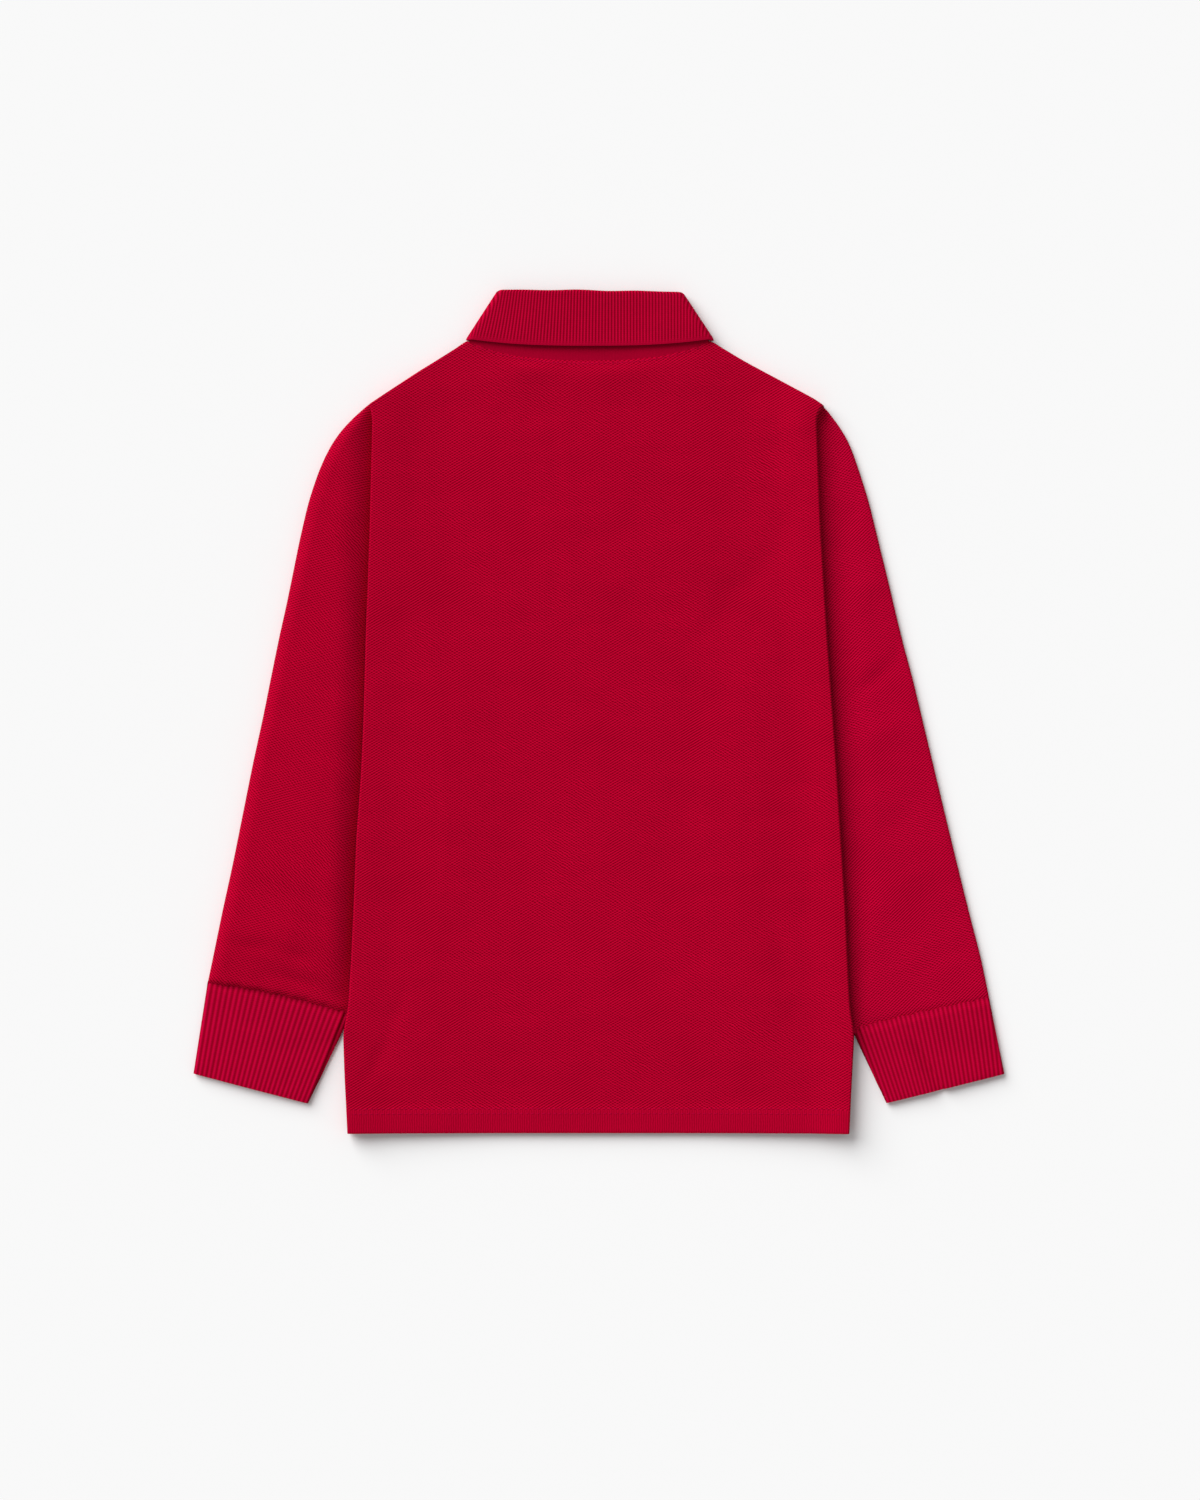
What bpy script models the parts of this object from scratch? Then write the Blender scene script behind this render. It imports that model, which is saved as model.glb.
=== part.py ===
"""Child's long-sleeved polo shirt, laid flat on a surface with its back up.

Lengths are in millimetres and are made metres where a mesh is finished. X runs across the
shirt, Y up towards the collar and Z away from the surface. The origin is on the surface,
under the middle of the shirt. Left and right are those of someone who looks down on it.
"""
import math
from collections import namedtuple

import bmesh
import bpy
import numpy as np
from mathutils import Vector

# Driving dimensions
METRES_PER_MM = 0.001
CLOTH = 1.2                 # knit of the body and sleeves
RIB_CLOTH = 1.5             # rib knit of the collar and cuffs
SEAM_GAP = 0.3              # between two pieces that are sewn together
LAYER_GAP = 0.8             # between the front and the back
SLEEVE_GAP = 0.6            # between a sleeve's own two layers
SLEEVE_STACK = 3.6          # height at which the body lies on a sleeve
COLLAR_STACK = 2.5          # height at which the front lies on the collar and the buttons
PLACKET_EXTRA = 1.1         # more height for the second placket strip
RIB_HEIGHT = 0.4
COLLAR_RIB_PITCH = 1.8
CUFF_RIBS = 26
HEM_HEIGHT = -236.0
HEM_DEPTH = 15.0
HEM_EXTRA = 0.4             # what the turned hem adds to a panel's thickness
TIP_HEIGHT = 171.0          # height of the shoulder tips
BEND_HEIGHT = 60.0          # above this height a panel's rows bend towards the neck
NOMINAL_HALF_WIDTH = 130.0  # columns of the body are named by their place at this width

NECK_CENTRE = -5.75
NECK_SIDE_HEIGHT = 205.2
NECK_FRONT_DEPTH = 52.0
NECK_BACK_DEPTH = 11.0
NECK_ROUNDNESS = 2.6        # power of the flat curve at the back of the neck
NECK_MARGIN = 0.6           # how much larger the front's neckline is than the neck seam
FOLD_HEIGHT = 234.0         # height at which the collar turns over

PLACKET_CENTRE = -6.0
PLACKET_WIDTH = 28.0
PLACKET_END = 51.0
BUTTON_HEIGHTS = (140.0, 107.0, 74.0)
BUTTON_RADIUS = 5.3
BUTTON_THICKNESS = 2.2

CRIMSON = (0.376, 0.001, 0.020, 1.0)
DEEP_CRIMSON = (0.330, 0.001, 0.018, 1.0)
BUTTON_RED = (0.270, 0.002, 0.014, 1.0)

# Sides of the body, from the hem to the shoulder tips
Side = namedtuple("Side", "height left right")
BODY_SIDES = [
    Side(-236.0, -140.9, 139.8),
    Side(-205.0, -142.4, 141.3),
    Side(-180.0, -143.2, 142.6),
    Side(-166.0, -140.4, 140.2),
    Side(-138.0, -138.7, 138.8),
    Side(-110.0, -137.4, 137.6),
    Side(-72.0, -135.9, 135.2),
    Side(-35.0, -133.2, 132.9),
    Side(-3.0, -131.8, 130.7),
    Side(41.0, -130.6, 127.5),
    Side(107.0, -128.4, 123.6),
    Side(163.0, -127.0, 121.4),
    Side(171.0, -129.0, 126.0),
]

# Shoulders, from tip to neck on the left and from neck to tip on the right
Shoulder = namedtuple("Shoulder", "across height")
SHOULDER_LINE = [
    Shoulder(-129.0, 171.4),
    Shoulder(-116.6, 179.8),
    Shoulder(-99.8, 191.0),
    Shoulder(-81.4, 202.2),
    Shoulder(-74.1, 204.6),
    Shoulder(63.1, 204.8),
    Shoulder(79.9, 196.6),
    Shoulder(100.6, 185.4),
    Shoulder(120.8, 174.2),
    Shoulder(126.4, 170.0),
]

# Sections of the sleeves, from the cuff seam to the shoulder. The inner end is the underarm
# fold, which lies under the body, and from the armpit up it is the armhole seam.
Section = namedtuple("Section", "outer_x outer_y inner_x inner_y")
SLEEVE_SECTIONS = {
    "left": [
        Section(-219.2, -152.6, -139.8, -170.7),
        Section(-217.5, -144.5, -127.0, -161.0),
        Section(-214.5, -130.0, -111.0, -146.0),
        Section(-210.6, -111.0, -99.0, -124.0),
        Section(-205.1, -86.0, -93.0, -96.0),
        Section(-199.5, -58.0, -91.5, -65.0),
        Section(-193.9, -30.0, -91.0, -34.0),
        Section(-188.0, -3.0, -92.0, -4.0),
        Section(-182.2, 26.0, -103.0, 22.0),
        Section(-178.5, 44.0, -117.0, 38.0),
        Section(-175.5, 57.0, -126.0, 48.0),
        Section(-172.2, 73.0, -124.0, 66.0),
        Section(-167.6, 95.8, -122.0, 88.0),
        Section(-162.7, 117.0, -121.0, 112.0),
        Section(-156.5, 135.5, -121.5, 132.0),
        Section(-149.5, 150.0, -122.5, 148.0),
        Section(-141.8, 160.0, -124.0, 159.0),
        Section(-132.0, 169.2, -126.0, 168.0),
    ],
    "right": [
        Section(218.2, -161.4, 142.0, -178.9),
        Section(216.7, -153.5, 128.0, -168.0),
        Section(213.5, -138.0, 112.0, -152.0),
        Section(208.5, -119.0, 100.0, -130.0),
        Section(202.0, -93.0, 94.0, -102.0),
        Section(195.2, -65.0, 92.0, -70.0),
        Section(188.5, -37.0, 91.5, -38.0),
        Section(181.8, -9.0, 92.0, -8.0),
        Section(175.0, 19.5, 101.0, 20.0),
        Section(170.2, 37.0, 114.0, 37.0),
        Section(166.5, 52.0, 122.8, 48.0),
        Section(162.3, 70.0, 120.2, 66.0),
        Section(156.0, 95.8, 118.0, 88.0),
        Section(150.7, 117.5, 116.8, 112.0),
        Section(145.0, 135.5, 116.2, 132.0),
        Section(139.5, 151.0, 116.5, 148.0),
        Section(133.8, 159.8, 118.5, 158.5),
        Section(128.5, 167.4, 122.0, 166.0),
    ],
}
ARMPIT_ROW = 10             # the section that starts at the armpit
CUFF_ENDS = {
    "left": Section(-227.0, -202.7, -162.9, -219.5),
    "right": Section(226.6, -202.9, 160.6, -219.3),
}
CUFF_SEAM_BOW = {"left": 2.2, "right": 0.6}

# Slopes of the body beside the sleeves that it lies on: how wide they are at each height
Slope = namedtuple("Slope", "height width")
BODY_SLOPES = [
    Slope(-236.0, 40.0),
    Slope(-165.0, 34.0),
    Slope(-130.0, 24.0),
    Slope(-90.0, 16.0),
    Slope(30.0, 16.0),
    Slope(60.0, 14.0),
    Slope(171.0, 12.0),
]
SLOPE_MARGIN = 6.0          # how far the full height reaches past the sleeve's fold
ARMHOLE_SPREAD = 1.2        # the front's slope moves out this much per height above the armpit

# Slopes of the body over the placket: how far from it they start, and how wide they are
Ramp = namedtuple("Ramp", "reach width")
PLACKET_SIDES = Ramp(34.0, 19.5)
PLACKET_FOOT = Ramp(8.0, 22.0)
STRIP_SIDES = Ramp(32.0, 15.5)
STRIP_FOOT = Ramp(20.0, 17.0)
STRIP_HEAD = Ramp(172.0, 16.0)

# Rolled edge of the back: how far the two faces of the cloth lie inside the outline, and
# how much of the way down they are
Roll = namedtuple("Roll", "outside inside drop")
EDGE_ROLL = [
    Roll(0.0, 1.2, 1.0),
    Roll(0.2, 1.35, 0.55),
    Roll(1.1, 1.95, 0.12),
    Roll(3.4, 3.4, 0.0),
]
FRONT_INSET = 1.95          # the front's side edge lies this far inside the rolled back
SHOULDER_INSET = 2.24       # and its shoulders this far below the back's
ROLL_CLEARANCE = 0.05       # between the end of the roll and what lies under it
NECK_ROLL_LENGTH = 8.0      # along the shoulder, in which the roll starts beside the neck

# Collar: side folds and how it is stacked, as distances from its middle layer
COLLAR_MIDDLE = 4.1
STAND_OFFSET = 1.0
FALL_OFFSET = 3.2
FOLD_RISE = {"left": 0.7, "right": -0.5}    # the top fold leans a little
CollarSide = namedtuple("CollarSide", "fold_x neck_x edge_x front_x point_x")
COLLAR_SIDES = {
    "left": CollarSide(-53.4, -72.8, -70.9, -6.4, -50.0),
    "right": CollarSide(41.9, 61.3, 59.4, -5.1, 38.5),
}
FALL_EDGE_HEIGHT = 208.3
FALL_EDGE_DIP = 4.6
COLLAR_POINT_HEIGHT = 139.0
EDGE_CURVE = 0.3            # how far the front edges bend from a straight line to an arc
FRONT_FOLD_HEIGHT = 167.5
COLLAR_REACH = 70.0         # radius round the neck in which the front lies on the collar
COLLAR_REACH_END = 92.0
NECK_MIDDLE_HEIGHT = 188.0


def smooth(value):
    """Soft step from 0 to 1."""
    value = min(max(value, 0.0), 1.0)
    return value * value * (3.0 - 2.0 * value)


def mix(low, high, share):
    return low + (high - low) * share


def along(table, key, column, at):
    """Value of a table's column where its key column reaches a given value."""
    keys = [getattr(row, key) for row in table]
    values = [getattr(row, column) for row in table]
    return float(np.interp(at, keys, values))


def body_side(side, height):
    return along(BODY_SIDES, "height", side, height)


def sleeve_fold(side, height):
    """Where a sleeve's inner end lies at a height, continued past the cuff seam."""
    sections = SLEEVE_SECTIONS[side]
    cuff_end = CUFF_ENDS[side]
    heights = [cuff_end.inner_y] + [row.inner_y for row in sections]
    places = [cuff_end.inner_x] + [row.inner_x for row in sections]
    return float(np.interp(height, heights, places))


def sleeve_slope(side, x, y, under_front):
    """1 where the body lies on a sleeve, falling to 0 beside it."""
    outward = -1.0 if side == "left" else 1.0
    armpit = SLEEVE_SECTIONS[side][ARMPIT_ROW]
    fold = sleeve_fold(side, y)
    if under_front and y > armpit.inner_y:
        fold = armpit.inner_x + outward * ARMHOLE_SPREAD * (y - armpit.inner_y)
    width = along(BODY_SLOPES, "height", "width", y)
    beyond = outward * (x - fold) + SLOPE_MARGIN
    return smooth((beyond + width) / width)


def collar_slope(x, y):
    """1 where the body lies on the collar, falling to 0 away from the neck."""
    distance = math.hypot(x - NECK_CENTRE, y - NECK_MIDDLE_HEIGHT)
    return smooth((COLLAR_REACH_END - distance) / (COLLAR_REACH_END - COLLAR_REACH))


def placket_slope(x, y):
    """1 over the placket, falling to 0 on each side and at its lower end."""
    across = smooth((PLACKET_SIDES.reach - abs(x - PLACKET_CENTRE)) / PLACKET_SIDES.width)
    return across * smooth((y - PLACKET_END + PLACKET_FOOT.reach) / PLACKET_FOOT.width)


def strip_slope(x, y):
    """1 where the back lies on the second strip of the placket, falling to 0 around it."""
    across = smooth((STRIP_SIDES.reach - abs(x - PLACKET_CENTRE)) / STRIP_SIDES.width)
    foot = smooth((y - PLACKET_END + STRIP_FOOT.reach) / STRIP_FOOT.width)
    return across * foot * smooth((STRIP_HEAD.reach - y) / STRIP_HEAD.width)


def front_bottom(x, y):
    """Height of the front panel's lower face."""
    sleeves = sleeve_slope("left", x, y, True) + sleeve_slope("right", x, y, True)
    hollow = (1.0 - collar_slope(x, y)) * (1.0 - placket_slope(x, y))
    return SLEEVE_STACK * sleeves + COLLAR_STACK * (1.0 - hollow)


def hem_extra(y):
    """Added thickness inside the turned hem."""
    return HEM_EXTRA * smooth((HEM_HEIGHT + HEM_DEPTH + 2.0 - y) / 2.0)


def back_rest(x, y):
    """Height of what lies directly under the back's rolled edge."""
    sleeves = sleeve_slope("left", x, y, False) + sleeve_slope("right", x, y, False)
    hollow = (1.0 - collar_slope(x, y)) * (1.0 - placket_slope(x, y))
    return SLEEVE_STACK * sleeves + COLLAR_STACK * (1.0 - hollow)


def back_bottom(x, y):
    """Height of the back panel's lower face away from its edges."""
    strips = PLACKET_EXTRA * strip_slope(x, y)
    return back_rest(x, y) + CLOTH + LAYER_GAP + strips + 1.5 * hem_extra(y)


def neck_belly(share):
    """How far the back of the neck hangs down, from 0 at its sides to 1 in its middle."""
    return 1.0 - abs(2.0 * share - 1.0) ** NECK_ROUNDNESS


def neck_seam_back(x):
    """Height of the neck seam at the back of the neck."""
    left = COLLAR_SIDES["left"].neck_x
    right = COLLAR_SIDES["right"].neck_x
    share = min(max((x - left) / (right - left), 0.0), 1.0)
    return NECK_SIDE_HEIGHT - NECK_BACK_DEPTH * neck_belly(share)


def back_top(x):
    """Upper outline of the back: the shoulders, and the neck seam between them."""
    left = COLLAR_SIDES["left"].neck_x
    right = COLLAR_SIDES["right"].neck_x
    if left < x < right:
        return neck_seam_back(x) - SEAM_GAP
    return along(SHOULDER_LINE, "across", "height", x)


def front_top(x):
    """Upper outline of the front: the shoulders, and the lower front of the neck."""
    neck_width = COLLAR_SIDES["right"].neck_x - COLLAR_SIDES["left"].neck_x
    half_width = 0.5 * neck_width + NECK_MARGIN
    shoulder = along(SHOULDER_LINE, "across", "height", x) - SHOULDER_INSET
    share = (x - NECK_CENTRE) / half_width
    if abs(share) >= 1.0:
        return shoulder
    depth = NECK_FRONT_DEPTH + NECK_MARGIN
    return min(shoulder, NECK_SIDE_HEIGHT - depth * math.sqrt(1.0 - share * share))


def bent_height(x, row_height, top):
    """Height of a row at x: rows above the chest follow the panel's upper outline."""
    bend = max(row_height - BEND_HEIGHT, 0.0) / (TIP_HEIGHT - BEND_HEIGHT)
    return row_height + (top(x) - TIP_HEIGHT) * bend


def column_place(nominal, half_width):
    """Place of a column where the body is wider or narrower than its nominal width."""
    share = nominal / NOMINAL_HALF_WIDTH
    return nominal + (half_width - NOMINAL_HALF_WIDTH) * share ** 3


def grid_wall(bm, outer, inner, keep):
    """Closed wall between two grids of points. keep(row, column) says which cells exist.
    Every cell is split along the same diagonal, so that walls which lie on each other fit."""
    faces = [[[bm.verts.new(point) for point in row] for row in grid] for grid in (outer, inner)]
    rows = len(outer) - 1
    columns = len(outer[0]) - 1
    cells = {(r, c) for r in range(rows) for c in range(columns) if keep(r, c)}
    for r, c in cells:
        corners = [(r, c), (r, c + 1), (r + 1, c + 1), (r + 1, c)]
        for half in (corners[:3], corners[2:] + corners[:1]):
            bm.faces.new([faces[0][i][j] for i, j in half])
            bm.faces.new([faces[1][i][j] for i, j in reversed(half)])
        neighbours = [(r - 1, c), (r, c + 1), (r + 1, c), (r, c - 1)]
        for index, neighbour in enumerate(neighbours):
            if neighbour not in cells:
                a = corners[index]
                b = corners[(index + 1) % 4]
                bm.faces.new([faces[0][b[0]][b[1]], faces[0][a[0]][a[1]],
                              faces[1][a[0]][a[1]], faces[1][b[0]][b[1]]])
    loose = [vert for vert in bm.verts if not vert.link_faces]
    bmesh.ops.delete(bm, geom=loose, context="VERTS")


def zip_rows(bm, first, second):
    """Joins two rows of (place, vertex): quads where their places agree, else triangles."""
    i = 0
    j = 0
    while i < len(first) - 1 or j < len(second) - 1:
        step_first = i < len(first) - 1
        step_second = j < len(second) - 1
        if step_first and step_second:
            ahead = first[i + 1][0] - second[j + 1][0]
            step_first = ahead < 1e-6
            step_second = ahead > -1e-6
        corners = [first[i][1]]
        if step_first:
            i += 1
            corners.append(first[i][1])
        if step_second:
            corners.append(second[j + 1][1])
        corners.append(second[j][1])
        if step_second:
            j += 1
        bm.faces.new(corners)


def new_material(name, colour, roughness):
    material = bpy.data.materials.new(name)
    material.use_nodes = True
    shader = material.node_tree.nodes["Principled BSDF"]
    shader.inputs["Base Color"].default_value = colour
    shader.inputs["Roughness"].default_value = roughness
    shader.inputs["Metallic"].default_value = 0.0
    return material


def finish_mesh(bm, name):
    """Turns the faces outwards, changes millimetres to metres and makes the mesh."""
    bmesh.ops.recalc_face_normals(bm, faces=bm.faces)
    bmesh.ops.scale(bm, vec=Vector((1.0, 1.0, 1.0)) * METRES_PER_MM, verts=bm.verts)
    mesh = bpy.data.meshes.new(name)
    bm.to_mesh(mesh)
    bm.free()
    mesh.shade_smooth()
    mesh.set_sharp_from_angle(angle=math.radians(50.0))
    return mesh


def add_piece(name, mesh, material, shirt):
    piece = bpy.data.objects.new(name, mesh)
    bpy.context.scene.collection.objects.link(piece)
    if not mesh.materials:
        mesh.materials.append(material)
    piece.parent = shirt
    return piece


# Back panel: rows from the hem up, columns from the left edge to the right one
BACK_ROWS = (-236.0, -222.0, -219.0, -200.0, -180.0, -160.0, -140.0, -118.0, -92.0, -62.0,
             -26.0, 6.0, 24.0, 38.0, 48.0, 58.0, 66.0, 88.0, 112.0, 132.0, 148.0, 159.0)
BACK_COLUMNS = (-119.0, -109.0, -101.0, -94.0, -87.0, -80.0, -72.0, -62.0, -48.0, -36.0, -27.0,
                -18.0, -6.0, 6.0, 15.0, 26.0, 38.0, 52.0, 62.0, 72.0, 80.0, 87.0, 94.0, 101.0,
                109.0, 119.0)


def build_back(shirt, material):
    left_rolls = [("left", roll) for roll in EDGE_ROLL]
    right_rolls = [("right", roll) for roll in reversed(EDGE_ROLL)]
    columns = left_rolls + [("nominal", place) for place in BACK_COLUMNS] + right_rolls
    rows = [("height", height) for height in BACK_ROWS]
    rows += [("top", roll) for roll in reversed(EDGE_ROLL)]
    no_roll = Roll(0.0, 0.0, 0.0)

    def point(row, column, face):
        row_kind, row_value = row
        column_kind, column_value = column
        row_height = row_value if row_kind == "height" else TIP_HEIGHT
        side_roll = no_roll
        if column_kind == "nominal":
            side = "left" if column_value < 0.0 else "right"
            x = column_place(column_value, abs(body_side(side, row_height)))
        else:
            side_roll = column_value
            inward = 1.0 if column_kind == "left" else -1.0
            x = body_side(column_kind, row_height) + inward * getattr(side_roll, face)
        top_drop = 0.0
        if row_kind == "height":
            y = bent_height(x, row_height, back_top)
        else:
            past_neck = max(COLLAR_SIDES["left"].neck_x - x, x - COLLAR_SIDES["right"].neck_x)
            rolled = smooth(past_neck / NECK_ROLL_LENGTH)
            inset = mix(row_value.outside, getattr(row_value, face), rolled)
            y = back_top(x) - inset
            top_drop = row_value.drop * rolled
        height = back_bottom(x, y)
        if face == "outside":
            height += CLOTH + 0.5 * hem_extra(y)
        end = back_rest(x, y) + ROLL_CLEARANCE
        return Vector((x, y, mix(height, end, max(side_roll.drop, top_drop))))

    bm = bmesh.new()
    outer = [[point(row, column, "outside") for column in columns] for row in rows]
    inner = [[point(row, column, "inside") for column in columns] for row in rows]
    grid_wall(bm, outer, inner, lambda r, c: True)
    add_piece("back", finish_mesh(bm, "back"), material, shirt)


# Front panel: the same, with the slit that the placket fills
FRONT_ROWS = (-236.0, -222.0, -219.0, -200.0, -180.0, -160.0, -140.0, -118.0, -92.0, -62.0,
              -26.0, 6.0, 24.0, 38.0, 48.0, 51.0, 58.0, 66.0, 88.0, 112.0, 132.0, 148.0,
              159.0, 171.0)
FRONT_COLUMNS = (-119.0, -109.0, -101.0, -94.0, -87.0, -80.0, -73.4, -72.2, -69.0, -63.0, -55.0,
                 -45.0, -34.0, -20.0, -6.0, 8.0, 22.0, 33.0, 43.0, 51.0, 57.0, 60.6, 61.8, 72.0,
                 80.0, 87.0, 94.0, 101.0, 109.0, 119.0)


def front_side(side, height):
    """Side edge of the front: inside the rolled back, and above the armpit at the armhole."""
    inward = 1.0 if side == "left" else -1.0
    armpit = SLEEVE_SECTIONS[side][ARMPIT_ROW]
    if height > armpit.inner_y:
        return sleeve_fold(side, height) + inward * 2.0 * SEAM_GAP
    return body_side(side, height) + inward * FRONT_INSET


def build_front(shirt, material):
    slit_left = PLACKET_CENTRE - 0.5 * PLACKET_WIDTH
    slit_right = PLACKET_CENTRE + 0.5 * PLACKET_WIDTH
    nominal = (-NOMINAL_HALF_WIDTH,) + FRONT_COLUMNS + (NOMINAL_HALF_WIDTH,)

    def point(row_height, place, thickness):
        side = "left" if place < 0.0 else "right"
        x = column_place(place, abs(front_side(side, row_height)))
        y = bent_height(x, row_height, front_top)
        extra = hem_extra(y) if thickness else 0.0
        return Vector((x, y, front_bottom(x, y) + thickness + extra))

    def keep(row, column):
        in_slit = slit_left - 1.0 < nominal[column] < slit_right - 1.0
        return not (in_slit and FRONT_ROWS[row] >= PLACKET_END - 1.0)

    bm = bmesh.new()
    upper = [[point(row, place, CLOTH) for place in nominal] for row in FRONT_ROWS]
    lower = [[point(row, place, 0.0) for place in nominal] for row in FRONT_ROWS]
    grid_wall(bm, upper, lower, keep)
    add_piece("front", finish_mesh(bm, "front"), material, shirt)


# Stations round a flattened tube: layer, share of its width or of its quarter turn
Station = namedtuple("Station", "layer share")
SLEEVE_BOTTOM = (0.0, 0.1, 0.3, 0.5, 0.7, 0.9, 1.0)
SLEEVE_TOP = (1.0, 0.94, 0.84, 0.7, 0.56, 0.42, 0.28, 0.12, 0.0)
FOLD_TURN = (0.25, 0.5, 0.75)
SLEEVE_STATIONS = (
    [Station("seam_bottom", share) for share in (0.0, 0.35, 0.7)]
    + [Station("bottom", share) for share in SLEEVE_BOTTOM]
    + [Station("fold", share) for share in FOLD_TURN]
    + [Station("top", share) for share in SLEEVE_TOP]
    + [Station("seam_top", share) for share in (0.7, 0.35, 0.0)]
)
SLEEVE_CROWN = 2.4          # how much a sleeve's upper layer rises beside the body
CROWN_START = 5.0           # distance from the body's edge at which it starts to rise
CUFF_CROWN_SHARE = 0.45     # how much of the crown is left at the cuff
CROWN_FULL = Ramp(-165.0, 45.0)
SEAM_BOW_ROWS = 3           # sections over which the bow of the cuff seam fades


def sleeve_crown(side, x, y):
    """Rise of a sleeve's upper layer between its outer fold and the body's edge."""
    outward = -1.0 if side == "left" else 1.0
    sections = SLEEVE_SECTIONS[side]
    outer = along(sections, "outer_y", "outer_x", y)
    from_body = outward * (x - body_side(side, y)) - CROWN_START
    from_fold = outward * (outer - x)
    if from_body <= 0.0 or from_fold <= 0.0:
        return 0.0
    width = from_body + from_fold
    near_cuff = mix(CUFF_CROWN_SHARE, 1.0, smooth((y - CROWN_FULL.reach) / CROWN_FULL.width))
    return SLEEVE_CROWN * near_cuff * 4.0 * from_body * from_fold / (width * width)


def tube_point(section, bow, station, surface_radius, turn_radius, open_end, crown):
    """Point of a flattened tube. The turn radius is half its height, and surface_radius is
    smaller than it for the inner face of the cloth."""
    inner = Vector((section.inner_x, section.inner_y))
    outer = Vector((section.outer_x, section.outer_y))
    width = (outer - inner).length
    direction = (outer - inner) / width
    wall = turn_radius - surface_radius
    if station.layer == "fold":
        angle = math.pi * (station.share - 0.5)
        distance = width - turn_radius + surface_radius * math.cos(angle)
        height = turn_radius + surface_radius * math.sin(angle)
    elif station.layer in ("bottom", "top"):
        distance = mix(turn_radius, width - turn_radius, station.share)
        height = wall if station.layer == "bottom" else 2.0 * turn_radius - wall
    else:
        start = math.asin(0.5 * SEAM_GAP / surface_radius)
        angle = mix(start, 0.5 * math.pi, station.share)
        sign = -1.0 if station.layer == "seam_bottom" else 1.0
        closed = (turn_radius - surface_radius * math.cos(angle),
                  turn_radius + sign * surface_radius * math.sin(angle))
        flat = (turn_radius * station.share, turn_radius + sign * surface_radius)
        distance = mix(closed[0], flat[0], open_end)
        height = mix(closed[1], flat[1], open_end)
    share = distance / width
    place = inner + direction * distance
    place += Vector((-direction.y, direction.x)) * bow * 4.0 * share * (1.0 - share)
    if station.layer in ("top", "seam_top"):
        height += crown(place.x, place.y)
    return Vector((place.x, place.y, height))


def build_sleeve(side, shirt, material):
    turn_radius = CLOTH + 0.5 * SLEEVE_GAP
    bow = -CUFF_SEAM_BOW[side] if side == "left" else CUFF_SEAM_BOW[side]

    def grid(surface_radius):
        rows = []
        for index, section in enumerate(SLEEVE_SECTIONS[side]):
            row_bow = bow * max(1.0 - index / SEAM_BOW_ROWS, 0.0)
            open_end = 1.0 if index >= ARMPIT_ROW else 0.0
            rows.append([
                tube_point(section, row_bow, station, surface_radius, turn_radius, open_end,
                           lambda x, y: sleeve_crown(side, x, y))
                for station in SLEEVE_STATIONS
            ])
        return rows

    bm = bmesh.new()
    grid_wall(bm, grid(turn_radius), grid(turn_radius - CLOTH), lambda r, c: True)
    name = "sleeve_" + side
    add_piece(name, finish_mesh(bm, name), material, shirt)


# Cuffs: tubes of rib knit, with ribs on the side that shows and a flat underside
CUFF_ROWS = (0.0, 0.35, 0.7, 1.0)
CUFF_CROWN = 0.8
CUFF_GAP = 0.4              # between a cuff's own two layers
CUFF_START = 0.006          # share of the cuff's length that the seam leaves free
CUFF_PLAIN = (0.0, 0.2, 0.4, 0.6, 0.8, 1.0)


def build_cuff(side, shirt, material):
    turn_radius = RIB_CLOTH + 0.5 * CUFF_GAP
    bow = -CUFF_SEAM_BOW[side] if side == "left" else CUFF_SEAM_BOW[side]
    seam = SLEEVE_SECTIONS[side][0]
    end = CUFF_ENDS[side]
    half_ribs = 2 * CUFF_RIBS
    under = [Station("bottom", share) for share in CUFF_PLAIN]
    outer_turn = [Station("fold", share) for share in FOLD_TURN]
    plain_top = [Station("top", share) for share in reversed(CUFF_PLAIN)]
    ribbed_top = [Station("top", 1.0 - index / half_ribs) for index in range(half_ribs + 1)]
    inner_turn = [Station("fold", 1.0 - share) for share in FOLD_TURN]

    def no_crown(x, y):
        return 0.0

    def ring(bm, share, surface_radius, top):
        moved = mix(CUFF_START, 1.0, share)
        section = Section(*[mix(a, b, moved) for a, b in zip(seam, end)])
        mirrored = Section(section.inner_x, section.inner_y, section.outer_x, section.outer_y)
        ring_bow = bow * (1.0 - share)
        loop = []

        def place(used_section, used_bow, station):
            return tube_point(used_section, used_bow, station, surface_radius, turn_radius,
                              0.0, no_crown)

        for station in under:
            loop.append((station.share, place(section, ring_bow, station)))
        for station in outer_turn:
            loop.append((1.0 + station.share, place(section, ring_bow, station)))
        for index, station in enumerate(top):
            point = place(section, ring_bow, station)
            point.z += CUFF_CROWN * 4.0 * station.share * (1.0 - station.share)
            if len(top) > len(plain_top) and index % 2 == 1:
                point.z += RIB_HEIGHT
            loop.append((3.0 - station.share, point))
        for station in inner_turn:
            loop.append((4.0 - station.share, place(mirrored, -ring_bow, station)))
        row = [(around, bm.verts.new(point)) for around, point in loop]
        return row + [(4.0, row[0][1])]

    bm = bmesh.new()
    rings = [ring(bm, share, turn_radius, ribbed_top) for share in CUFF_ROWS]
    rings += [ring(bm, share, turn_radius - RIB_CLOTH, plain_top) for share in reversed(CUFF_ROWS)]
    for first, second in zip(rings, rings[1:] + rings[:1]):
        zip_rows(bm, first, second)
    name = "cuff_" + side
    add_piece(name, finish_mesh(bm, name), material, shirt)


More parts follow.
